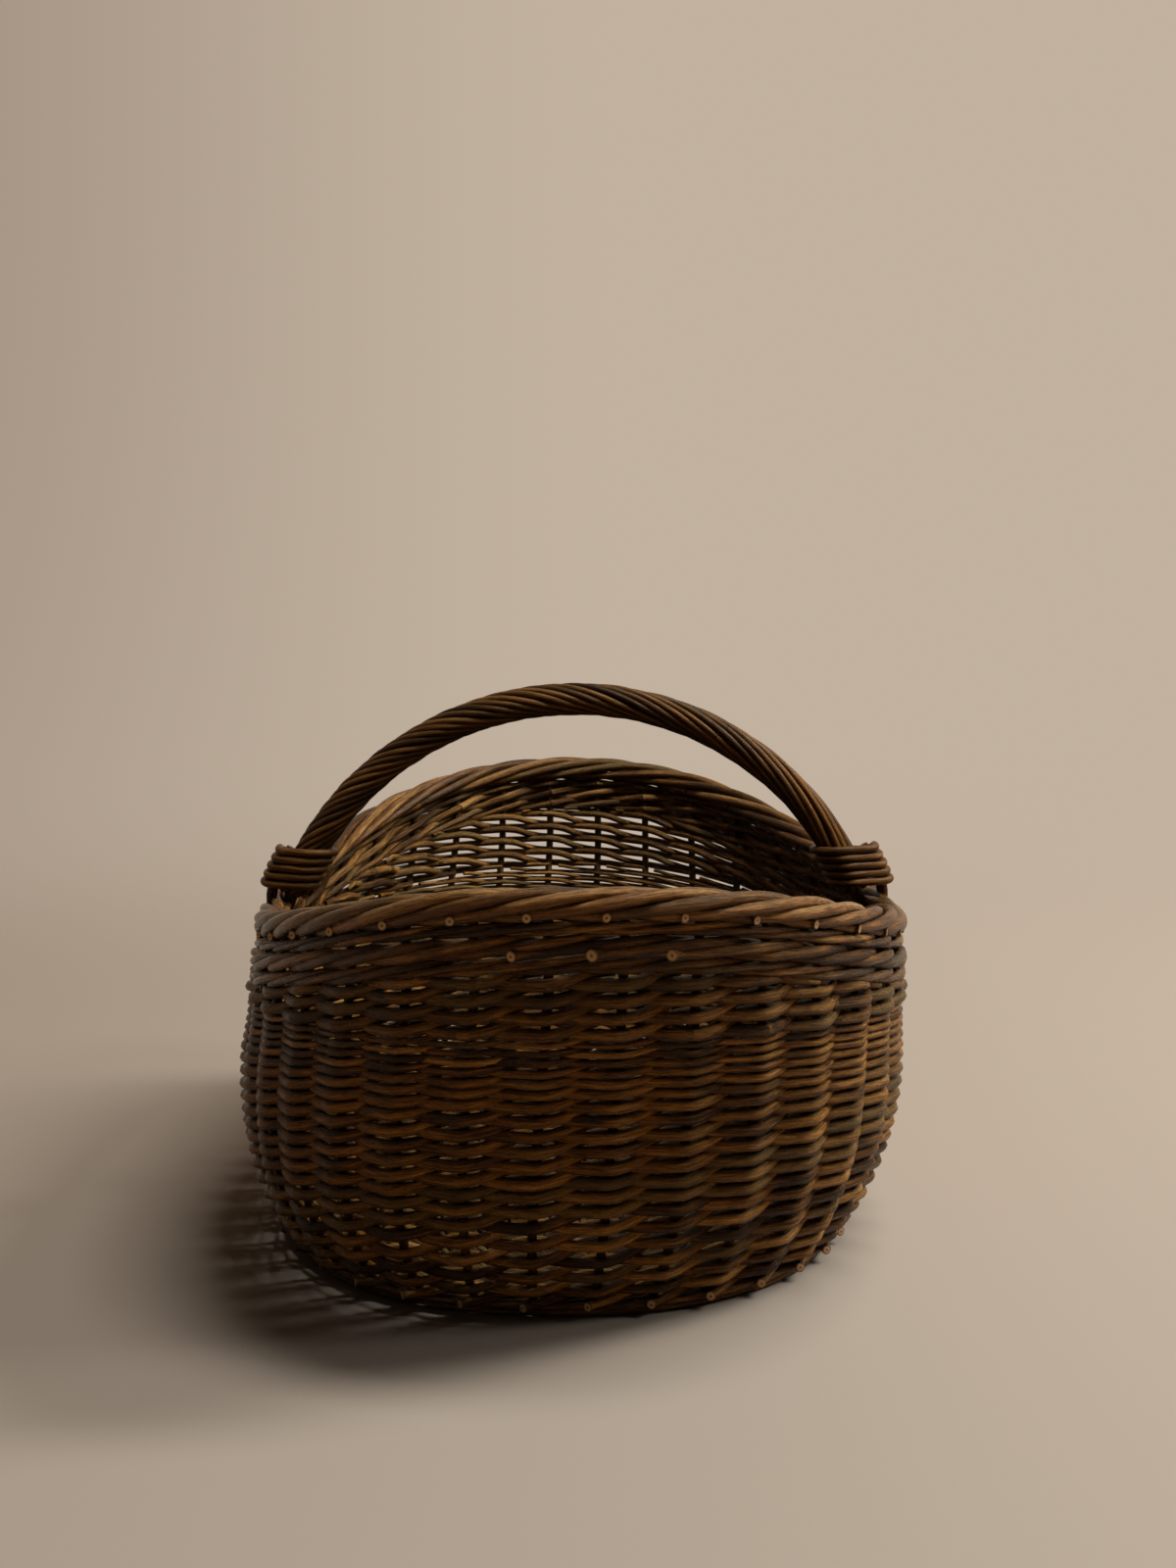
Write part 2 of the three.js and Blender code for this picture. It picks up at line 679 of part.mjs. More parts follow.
// Border: the bent-down tops of the stakes, plaited into one thick rim
const borderAt = (drop) => (angle) => rimTop(angle) - drop;
const border = wallRing([
  [2 - borderBulge, borderAt(borderHeight - borderGap)],
  [-borderBulge, borderAt(borderHeight - borderRound)],
  [-borderBulge, borderAt(borderRound)],
  [borderRound - borderBulge, borderAt(0)],
  [borderInnerInset - borderRound, borderAt(0)],
  [borderInnerInset, borderAt(borderRound)],
  [borderInnerInset, borderAt(borderHeight - borderRound)],
  [borderInnerInset - 2, borderAt(borderHeight - borderGap)],
], betweenAngles);
add('border', toGeometry(cut(border, [...stakeSpace, bowSpace, ...staySpace])), bark.border);

add('handle_bow', bowGeometry, bark.stake);
add('handle_roping', toGeometry(ropingSolid()), bark.handle);
for (const [name, side] of [['right', 1], ['left', -1]]) {
  const path = lashingPath(side);
  console.log(`least gap of lashing_${name} to itself: ${leastGap(path, lashRodRadius).toFixed(2)} mm`);
  add(`lashing_${name}`, rod(path, lashRodRadius, 6), bark.handle);
  add(`lashing_stay_${name}`, rod(stayPaths[name], stayRadius, 6), bark.handle);
}

export default basket;
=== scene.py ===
"""Oval willow basket with a roped bow handle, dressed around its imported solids.

Sizes are in millimetres and heights above the ground. Points become metres when a
piece is made. A place round the wall is given in pitches: stake k stands at k + 0.5,
and whole numbers lie half way between two stakes.
"""

import logging
import math
import random
from collections.abc import Callable, Sequence
from dataclasses import dataclass
from enum import Enum
from functools import cached_property

import bpy
import numpy as np
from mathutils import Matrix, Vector


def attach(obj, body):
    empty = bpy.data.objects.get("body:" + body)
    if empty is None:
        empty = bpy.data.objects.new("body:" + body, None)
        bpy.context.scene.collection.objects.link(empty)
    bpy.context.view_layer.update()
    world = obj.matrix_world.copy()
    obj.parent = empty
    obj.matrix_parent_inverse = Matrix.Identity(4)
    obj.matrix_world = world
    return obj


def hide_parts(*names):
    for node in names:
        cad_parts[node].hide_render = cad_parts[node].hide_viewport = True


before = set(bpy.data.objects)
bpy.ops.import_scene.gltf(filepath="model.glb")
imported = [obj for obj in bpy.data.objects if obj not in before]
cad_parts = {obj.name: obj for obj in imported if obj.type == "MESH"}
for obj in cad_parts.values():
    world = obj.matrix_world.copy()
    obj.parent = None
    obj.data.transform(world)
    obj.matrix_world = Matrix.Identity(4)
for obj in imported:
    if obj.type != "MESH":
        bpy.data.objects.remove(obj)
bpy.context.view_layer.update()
log = logging.getLogger("basket")
Array = np.ndarray
Colour = tuple[float, float, float]
Place = tuple[float, float, float]
Span = tuple[float, float]
Knots = tuple[tuple[float, ...], tuple[float, ...]]
Piece = bpy.types.Object
Material = bpy.types.Material
Socket = bpy.types.NodeSocket
MM = 0.001
TAU = math.tau


class End(Enum):
    """The two raised ends of the basket, by the place of their middle in pitches."""

    NEAR = 0
    FAR = 18


class Side(Enum):
    """The two sides where the handle comes down, by the sign of x."""

    RIGHT = 1
    LEFT = -1


def unit(way: Array) -> Array:
    """The same way with length one."""
    return way / np.linalg.norm(way)


def run_along(points: Array) -> Array:
    """Length along a line at each of its points."""
    steps = np.linalg.norm(np.diff(points, axis=0), axis=1)
    return np.concatenate([[0.0], np.cumsum(steps)])


def squared_circle(angle: Array, power: float) -> tuple[Array, Array]:
    """Points x and y of a circle with a half width of one, squared more by a higher power."""
    c, s = np.cos(angle), np.sin(angle)
    r = (np.abs(c) ** power + np.abs(s) ** power) ** (-1 / power)
    return c * r, s * r


@dataclass(frozen=True)
class Wander:
    """A soft unevenness: how much, which line of noise and how far apart its turns lie."""

    amount: float
    seed: int
    wave: float
    turns: int = 256

    def at(self, places: Array, number: int) -> Array:
        """Soft values between about minus and plus the amount.

        Args:
            places: Where the values are wanted.
            number: Which line of noise to take, counted from the seed.

        Returns:
            One value for each place.
        """
        rng = np.random.default_rng(self.seed + number)
        knots = rng.uniform(-1, 1, self.turns + 1)
        at = np.mod(places / self.wave + rng.uniform(0, self.turns), self.turns)
        low = np.floor(at).astype(int)
        share = at - low
        share = share * share * (3 - 2 * share)
        return self.amount * (knots[low] * (1 - share) + knots[low + 1] * share)


def pick_tint(chance: random.Random, tone: float = 0.42, spread: float = 0.26,
              grey: float = 0.35) -> Colour:
    """Draws the tint of one rod.

    Args:
        chance: The source of the draws.
        tone: How light the rods are on average, 0 to 1.
        spread: How much that varies.
        grey: Share of the rods that are greyed.

    Returns:
        How light the rod is, how warm and how grey.
    """
    light = min(max(chance.gauss(tone, spread), 0.0), 1.0)
    warm = chance.random()
    most_grey = 0.7
    return light, warm, max(chance.random() - 1 + grey, 0.0) / grey * most_grey


@dataclass(frozen=True)
class BasketShape:
    """Outer form of the woven body, with the same sizes as the solids."""

    base_half_width: float = 155.0
    belly_half_width: float = 184.5
    rim_half_width: float = 178.0
    belly_height: float = 100.0
    base_half_length: float = 175.0
    rim_half_length: float = 268.0
    side_rim_height: float = 180.0
    end_rim_height: float = 230.0
    rise_power: float = 1.8
    outline_power: float = 2.25
    belly_power: float = 2.8
    flare_power: float = 0.9
    base_shift: float = -5.2
    rim_shift: float = 4.3
    wall_centre: float = 7.0
    border_height: float = 16.0
    wale_height: float = 25.0
    stake_count: int = 36
    stake_shift: float = -3.6
    outline_steps: int = 3600
    bow_foot_height: float = 94.0
    bow_clear_out: float = 3.6
    bow_room: float = 0.30
    bow_fade: float = 8.0

    def half_width(self, z: Array) -> Array:
        """Half width of the outer face at a height."""
        z = np.asarray(z, float)
        low = 1 - np.clip(z, 0, self.belly_height) / self.belly_height
        below = self.belly_half_width - (self.belly_half_width - self.base_half_width) * low**self.belly_power
        up = np.clip((z - self.belly_height) / (self.side_rim_height - self.belly_height), 0, 1)
        return np.where(z < self.belly_height, below,
                        self.belly_half_width - (self.belly_half_width - self.rim_half_width) * up * up)

    def half_length(self, z: Array) -> Array:
        """Half length of the outer face at a height."""
        up = np.clip(np.asarray(z, float), 0, None) / self.end_rim_height
        return self.base_half_length + (self.rim_half_length - self.base_half_length) * up**self.flare_power

    def middle_x(self, z: Array) -> Array:
        """How far the middle is to the right at a height: the basket leans a little."""
        up = np.clip(np.asarray(z, float) / self.side_rim_height, None, 1)
        return self.base_shift + (self.rim_shift - self.base_shift) * up

    def outline(self, angle: Array) -> tuple[Array, Array]:
        """Point of the unit outline, a slightly squared ellipse."""
        return squared_circle(angle, self.outline_power)

    def on_wall(self, angle: Array, z: Array, inset: Array) -> Array:
        """Points at a depth inside the outer face.

        Args:
            angle: Angles round the outline.
            z: Heights.
            inset: Depths inside the outer face.

        Returns:
            One row of x, y and z for each angle.
        """
        u, v = self.outline(angle)
        x = self.middle_x(z) + (self.half_width(z) - inset) * u
        y = (self.half_length(z) - inset) * v
        return np.stack(np.broadcast_arrays(x, y, z), axis=-1).astype(float)

    def end_share(self, angle: Array) -> Array:
        """How far an angle is from the low sides to the raised ends, 0 to 1."""
        return np.abs(self.outline(angle)[1]) ** self.rise_power

    def far_share(self, place: Array) -> Array:
        """How far a place is into the far end, 0 to 1."""
        return np.clip(self.outline(self.angle_at(place))[1], 0, 1) ** 3

    def rim_top(self, angle: Array) -> Array:
        """Height of the rim at an angle."""
        return self.side_rim_height + (self.end_rim_height - self.side_rim_height) * self.end_share(angle)

    @cached_property
    def _turns(self) -> tuple[Array, Array]:
        """Places in pitches and the angles that belong to them, once round."""
        first = self.stake_shift / self.belly_half_width - math.pi / 2
        angles = first + np.linspace(0, TAU, self.outline_steps + 1)
        run = run_along(self.on_wall(angles, np.full_like(angles, self.belly_height), 0.0))
        return run / run[-1] * self.stake_count, angles

    def angle_at(self, place: Array) -> Array:
        """Angle at a place that is given in pitches."""
        places, angles = self._turns
        place = np.asarray(place, float)
        return np.interp(np.mod(place, self.stake_count), places, angles)

    def at(self, place: Array, z: Array, out: Array) -> Array:
        """Points of the wall at places in pitches, out from the middle of the wall."""
        return self.on_wall(self.angle_at(place), z, self.wall_centre - np.asarray(out, float))

    def outward(self, place: float) -> Array:
        """Level step that leads out of the wall at a place, about a millimetre long."""
        u, v = self.outline(self.angle_at(place))
        return np.array([u, v, 0.0])

    def round_bow(self, place: Array, z: Array, out: Array) -> Array:
        """Leads rods past the outside of the handle's feet, which stand inside the wall.

        Args:
            place: Places in pitches.
            z: Heights.
            out: Distances out from the middle of the wall.

        Returns:
            The distances, raised where a foot of the handle is in the way.
        """
        places, angles = self._turns
        feet = np.interp((0.0, math.pi), angles, places)
        half_round = self.stake_count / 2
        apart = np.mod(place[:, None] - feet + half_round, self.stake_count) - half_round
        near = np.exp(-((apart / self.bow_room) ** 2)).max(axis=1)
        near = near * np.clip((z - self.bow_foot_height) / self.bow_fade, 0, 1)
        return out + (np.maximum(out, self.bow_clear_out) - out) * near


@dataclass
class Rod:
    """One willow rod: its middle line, its radius along it and the tint of its bark."""

    points: Array
    radius: Array
    tint: Colour

    @classmethod
    def even(cls, points: Array, radius: float, tint: Colour) -> "Rod":
        """A rod that is as thick all along."""
        return cls(points, np.full(len(points), radius), tint)

    @property
    def start_way(self) -> Array:
        """The way that the rod's first end points."""
        return unit(self.points[0] - self.points[1])


@dataclass(frozen=True)
class CutEnd:
    """A pale cut face of a rod: its middle, the way it faces and its radius."""

    centre: Array
    facing: Array
    radius: float


def add_object(name: str, data: bpy.types.ID) -> Piece:
    """Adds an object to the scene."""
    added = bpy.data.objects.new(name, data)
    bpy.context.scene.collection.objects.link(added)
    return added


class NodeTree:
    """A small helper that adds and joins nodes of a tree."""

    def __init__(self, tree: bpy.types.NodeTree) -> None:
        """Keeps the tree."""
        self.tree = tree

    def add(self, kind: str, inputs: dict | None = None, **settings: object) -> bpy.types.Node:
        """Adds a node.

        Args:
            kind: The node's type name.
            inputs: Values or output sockets by input name or number.
            settings: Properties of the node.

        Returns:
            The new node.
        """
        node = self.tree.nodes.new(kind)
        for name, value in settings.items():
            setattr(node, name, value)
        for name, value in (inputs or {}).items():
            if isinstance(value, Socket):
                self.tree.links.new(value, node.inputs[name])
            else:
                node.inputs[name].default_value = value
        return node

    def one(self, kind: str, inputs: dict | None = None, **settings: object) -> Socket:
        """Adds a node as add does and returns its first output."""
        return self.add(kind, inputs, **settings).outputs[0]

    def math(self, how: str, *values: object) -> Socket:
        """Adds a Math node and returns its output."""
        return self.one("ShaderNodeMath", dict(enumerate(values)), operation=how)

    def centred(self, value: Socket, amount: object) -> Socket:
        """Turns a value between 0 and 1 into one that swings about 0 by an amount."""
        return self.math("MULTIPLY", self.math("SUBTRACT", value, 0.5), amount)

    def vector(self, how: str, *values: object) -> Socket:
        """Adds a Vector Math node and returns its first output."""
        return self.one("ShaderNodeVectorMath", dict(enumerate(values)), operation=how)

    def scaled(self, vector: Socket, factor: Socket) -> Socket:
        """Multiplies a vector or colour by a number."""
        return self.one("ShaderNodeVectorMath", {0: vector, "Scale": factor}, operation="SCALE")

    def length(self, vector: Socket) -> Socket:
        """Length of a vector."""
        return self.add("ShaderNodeVectorMath", {0: vector}, operation="LENGTH").outputs["Value"]

    def split(self, vector: Socket) -> list[Socket]:
        """Parts x, y and z of a vector."""
        return list(self.add("ShaderNodeSeparateXYZ", {0: vector}).outputs)

    def joined(self, *parts: object) -> Socket:
        """Vector from its parts x, y and z."""
        return self.one("ShaderNodeCombineXYZ", dict(enumerate(parts)))

    def spread(self, value: Socket, low: float, high: float, least: float = 0.0, most: float = 1.0,
               **settings: object) -> Socket:
        """Maps a value between low and high to one between least and most."""
        return self.one("ShaderNodeMapRange", {0: value, 1: low, 2: high, 3: least, 4: most}, **settings)

    def mix(self, share: object, first: object, second: object, **settings: object) -> Socket:
        """Mixes two colours, each a socket or its red, green and blue."""
        inputs = {0: share}
        for number, colour in ((6, first), (7, second)):
            inputs[number] = colour if isinstance(colour, Socket) else (*colour, 1.0)
        return self.add("ShaderNodeMix", inputs, data_type="RGBA", **settings).outputs[2]

    def attribute(self, name: str, output: str = "Vector") -> Socket:
        """Reads an attribute in a material."""
        return self.add("ShaderNodeAttribute", attribute_name=name).outputs[output]

    def place(self) -> Socket:
        """Object coordinates in a material."""
        return self.add("ShaderNodeTexCoord").outputs["Object"]

    def seen_by_eye_or_gloss(self) -> Socket:
        """One for rays that show a surface directly, in a reflection or through glass, else nothing."""
        ray = self.add("ShaderNodeLightPath").outputs
        direct = self.math("MAXIMUM", ray["Is Camera Ray"], ray["Is Glossy Ray"])
        return self.math("MAXIMUM", direct, ray["Is Transmission Ray"])

    def named(self, name: str, kind: str = "FLOAT") -> Socket:
        """Reads an attribute in a geometry tree."""
        return self.one("GeometryNodeInputNamedAttribute", {"Name": name}, data_type=kind)

    def store(self, geometry: Socket, name: str, value: Socket, kind: str = "FLOAT_VECTOR") -> Socket:
        """Stores a value on the points of a geometry and returns the geometry."""
        given = {"Geometry": geometry, "Name": name, "Value": value}
        return self.one("GeometryNodeStoreNamedAttribute", given, data_type=kind, domain="POINT")

    def close_shape(self, geometry: Socket, material: Socket) -> None:
        """Ends a geometry tree: makes instances real and sets the material."""
        real = self.one("GeometryNodeRealizeInstances", {"Geometry": geometry})
        done = self.one("GeometryNodeSetMaterial", {"Geometry": real, "Material": material})
        self.add("NodeGroupOutput", {0: done})


def start_shape_tree(name: str, *inputs: tuple[str, str, object]) -> tuple[NodeTree, dict[str, str]]:
    """Starts a geometry tree for a modifier.

    Args:
        name: Name of the tree.
        inputs: Name, kind and first value of each input beside the geometry.

    Returns:
        A helper for the tree, and the socket identifier of each input.
    """
    tree = bpy.data.node_groups.new(name, "GeometryNodeTree")
    tree.is_modifier = True
    face = tree.interface
    face.new_socket("Geometry", in_out="INPUT", socket_type="NodeSocketGeometry")
    sockets = {}
    for label, kind, value in inputs:
        socket = face.new_socket(label, in_out="INPUT", socket_type=f"NodeSocket{kind}")
        if value is not None:
            socket.default_value = value
        sockets[label] = socket.identifier
    face.new_socket("Geometry", in_out="OUTPUT", socket_type="NodeSocketGeometry")
    return NodeTree(tree), sockets


def start_material(name: str) -> tuple[Material, NodeTree]:
    """Makes a material with an empty tree, and a helper for that tree."""
    material = bpy.data.materials.new(name)
    material.use_nodes = True
    material.node_tree.nodes.clear()
    return material, NodeTree(material.node_tree)


class RodMaker:
    """Sweeps rods along their lines with one node tree, and makes them plain meshes.

    Painted shade darkens the rods underneath and a little on their very tops, where the
    rods around them shade them. A stored attribute holds how much of the bark's colour
    this painted shade leaves, from the way that each point faces.
    """

    run_apart: float = 173.0
    fold_angle: float = 1.2
    wander_scale: float = 0.11
    # Spans of the normal's height over which the painted shade fades in, below and on the very top.
    painted_shade_below: Span = (-0.80, 0.15)
    painted_shade_top: tuple[float, ...] = (0.75, 1.0, 1.0, 0.45)
    dome: float = -0.10

    def __init__(self) -> None:
        """Builds the two node trees."""
        self.rod_tree, self.rod_sockets = self._build_rod_tree()
        self.end_tree, self.end_sockets = self._build_end_tree()

    def _build_rod_tree(self) -> tuple[bpy.types.NodeTree, dict[str, str]]:
        """Builds the tree that turns lines into round rods with capped ends."""
        make, sockets = start_shape_tree("willow_rods", ("Sides", "Int", 8), ("Thickness", "Float", 1.0),
                                         ("Uneven", "Float", 0.06), ("Bark", "Material", None))
        given = make.add("NodeGroupInput").outputs
        radius = make.named("rod_radius")
        run = make.named("rod_run")
        wander = make.one("ShaderNodeTexNoise", {"W": run, "Scale": self.wander_scale, "Detail": 2.0},
                          noise_dimensions="1D")
        swell = make.math("MULTIPLY", make.centred(wander, given["Uneven"]), 2.0)
        factor = make.math("MULTIPLY", make.math("ADD", swell, 1.0), given["Thickness"])
        size = make.math("MULTIPLY", radius, factor)
        ring = make.one("GeometryNodeCurvePrimitiveCircle", {"Resolution": given["Sides"], "Radius": 1.0},
                        mode="RADIUS")
        kept = make.store(ring, "ring", make.one("GeometryNodeInputPosition"))
        lines = make.one("GeometryNodeMeshToCurve", {"Mesh": given["Geometry"]})
        rods = make.one("GeometryNodeCurveToMesh", {"Curve": lines, "Profile Curve": kept, "Scale": size,
                                                    "Fill Caps": True})
        wide = make.scaled(make.named("ring", "FLOAT_VECTOR"), make.math("MULTIPLY", radius, 1.0 / MM))
        bark = make.store(rods, "bark_space", make.vector("ADD", wide, make.joined(0.0, 0.0, run)))
        # Painted shade from the way each face points: darker below, and a little on the very top.
        up = make.split(make.one("GeometryNodeInputNormal"))[2]
        under = make.spread(up, *self.painted_shade_below)
        over = make.spread(up, *self.painted_shade_top)
        shaded_rods = make.store(bark, "painted_shade_factor", make.math("MULTIPLY", under, over), "FLOAT")
        smooth = make.one("GeometryNodeSetShadeSmooth", {"Geometry": shaded_rods}, domain="FACE")
        sharp = make.math("GREATER_THAN", make.one("GeometryNodeInputMeshEdgeAngle"), self.fold_angle)
        edge = make.one("GeometryNodeSetShadeSmooth",
                        {"Geometry": smooth, "Selection": sharp, "Shade Smooth": False}, domain="EDGE")
        make.close_shape(edge, given["Bark"])
        return make.tree, sockets

    def _build_end_tree(self) -> tuple[bpy.types.NodeTree, dict[str, str]]:
        """Builds the tree that sets a small domed cut face on each point."""
        make, sockets = start_shape_tree("cut_faces", ("Sides", "Int", 14), ("Height", "Float", 0.35),
                                         ("Wood", "Material", None))
        given = make.add("NodeGroupInput").outputs
        disc = make.one("GeometryNodeMeshCylinder", {
            "Vertices": given["Sides"], "Side Segments": 1, "Fill Segments": 2, "Radius": 1.0,
            "Depth": given["Height"]})
        place = make.one("GeometryNodeInputPosition")
        x, y, z = make.split(place)
        far = make.length(make.joined(x, y))
        dome = make.math("MULTIPLY", make.math("MULTIPLY", far, far), self.dome)
        drop = make.math("MULTIPLY", dome, make.math("GREATER_THAN", z, 0.0))
        domed = make.one("GeometryNodeSetPosition", {"Geometry": disc, "Offset": make.joined(0.0, 0.0, drop)})
        kept = make.store(domed, "cut_space", place)
        size = make.named("rod_radius")
        turn = make.one("FunctionNodeAlignRotationToVector", {"Vector": make.named("facing", "FLOAT_VECTOR")},
                        axis="Z")
        set_on = make.one("GeometryNodeInstanceOnPoints", {
            "Points": given["Geometry"], "Instance": kept, "Rotation": turn,
            "Scale": make.joined(size, size, size)})
        make.close_shape(set_on, given["Wood"])
        return make.tree, sockets

    def _finish(self, name: str, mesh: bpy.types.Mesh, tree: bpy.types.NodeTree, values: dict[str, object],
                material: Material) -> Piece:
        """Runs a tree on a mesh and keeps only its result.

        Args:
            name: Name of the piece.
            mesh: Lines or points with their attributes.
            tree: The node tree to run.
            values: Modifier inputs by socket identifier.
            material: The finish of the piece.

        Returns:
            A plain mesh object at the origin.
        """
        piece = add_object(name, mesh)
        modifier = piece.modifiers.new("shape", "NODES")
        modifier.node_group = tree
        for identifier, value in values.items():
            modifier[identifier] = value
        graph = bpy.context.evaluated_depsgraph_get()
        made = bpy.data.meshes.new_from_object(piece.evaluated_get(graph), depsgraph=graph)
        piece.modifiers.remove(modifier)
        piece.data = made
        made.name = name
        for spare in ("rod_radius", "rod_run", "ring", "facing"):
            if spare in made.attributes:
                made.attributes.remove(made.attributes[spare])
        made.materials.clear()
        made.materials.append(material)
        log.info("%s: %d faces", name, len(made.polygons))
        return piece

    def _note(self, mesh: bpy.types.Mesh, name: str, values: Array) -> None:
        """Stores one number or one vector for each point of a mesh."""
        values = np.asarray(values, np.float32)
        kind, key = ("FLOAT_VECTOR", "vector") if values.ndim > 1 else ("FLOAT", "value")
        mesh.attributes.new(name, kind, "POINT").data.foreach_set(key, values.ravel())

    def rods(self, name: str, rods: Sequence[Rod], material: Material, sides: int = 8,
             uneven: float = 0.06) -> Piece:
        """Makes one piece from many rods.

        Args:
            name: Name of the piece.
            rods: The rods.
            material: Bark of the rods.
            sides: Sides of each rod's section.
            uneven: How much the thickness wanders, as a share.

        Returns:
            The piece.
        """
        edges = []
        start = 0
        sizes = [len(rod.points) for rod in rods]
        for size in sizes:
            edges.extend((start + i, start + i + 1) for i in range(size - 1))
            start += size
        mesh = bpy.data.meshes.new(name)
        mesh.from_pydata(np.concatenate([rod.points * MM for rod in rods]).tolist(), edges, [])
        self._note(mesh, "rod_radius", np.concatenate([rod.radius * MM for rod in rods]))
        self._note(mesh, "rod_run", np.concatenate(
            [run_along(rod.points) + number * self.run_apart for number, rod in enumerate(rods)]))
        self._note(mesh, "rod_tint", np.repeat([rod.tint for rod in rods], sizes, axis=0))
        values = {self.rod_sockets["Sides"]: sides, self.rod_sockets["Uneven"]: uneven,
                  self.rod_sockets["Bark"]: material}
        return self._finish(name, mesh, self.rod_tree, values, material)

    def cut_ends(self, name: str, ends: Sequence[CutEnd], material: Material) -> Piece:
        """Makes one piece from many small cut faces."""
        mesh = bpy.data.meshes.new(name)
        mesh.from_pydata([end.centre * MM for end in ends], [], [])
        self._note(mesh, "rod_radius", np.array([end.radius * MM for end in ends]))
        self._note(mesh, "facing", np.array([end.facing for end in ends]))
        return self._finish(name, mesh, self.end_tree, {self.end_sockets["Wood"]: material}, material)


@dataclass(frozen=True)
class BarkFinish:
    """Colours and shine of willow bark. Colours are linear red, green and blue."""

    name: str
    dark: Colour = (0.030, 0.0095, 0.0012)
    middle: Colour = (0.235, 0.101, 0.0160)
    light: Colour = (0.375, 0.190, 0.050)
    grey: Colour = (0.150, 0.092, 0.028)
    roughness: float = 0.26
    shine: float = 0.17
    shine_tint: Colour = (1.0, 0.82, 0.60)
    relief: float = 0.9
    relief_depth: float = 0.0009
    on_solid: bool = False
    solid_grain: Place = (150.0, 1000.0, 1000.0)
    solid_tint: Colour = (0.45, 0.5, 0.2)

    def build(self, grain: bpy.types.NodeTree) -> Material:
        """Builds the material around the shared bark grain.

        Args:
            grain: The shader group that gives colour, roughness and relief.

        Returns:
            The material.
        """
        material, make = start_material(self.name)
        if self.on_solid:
            # Solids get no painted shade; rods read theirs from their stored attribute.
            bark = {"Bark Space": make.vector("MULTIPLY", make.place(), self.solid_grain),
                    "Rod Tint": self.solid_tint, "Painted Shade Factor": 1.0}
        else:
            bark = {"Bark Space": make.attribute("bark_space"), "Rod Tint": make.attribute("rod_tint"),
                    "Painted Shade Factor": make.attribute("painted_shade_factor", "Fac")}
        colours = (("Dark", self.dark), ("Middle", self.middle), ("Light", self.light), ("Grey", self.grey))
        bark |= {name: (*colour, 1.0) for name, colour in colours}
        bark["Base Roughness"] = self.roughness
        found = make.add("ShaderNodeGroup", bark, node_tree=grain).outputs
        bump = make.one("ShaderNodeBump", {"Strength": self.relief, "Distance": self.relief_depth,
                                           "Height": found["Relief"]})
        shader = make.one("ShaderNodeBsdfPrincipled", {
            "Base Color": found["Colour"], "Roughness": found["Roughness"], "Normal": bump,
            "Specular IOR Level": self.shine, "Specular Tint": (*self.shine_tint, 1.0)})
        make.add("ShaderNodeOutputMaterial", {"Surface": shader})
        return material


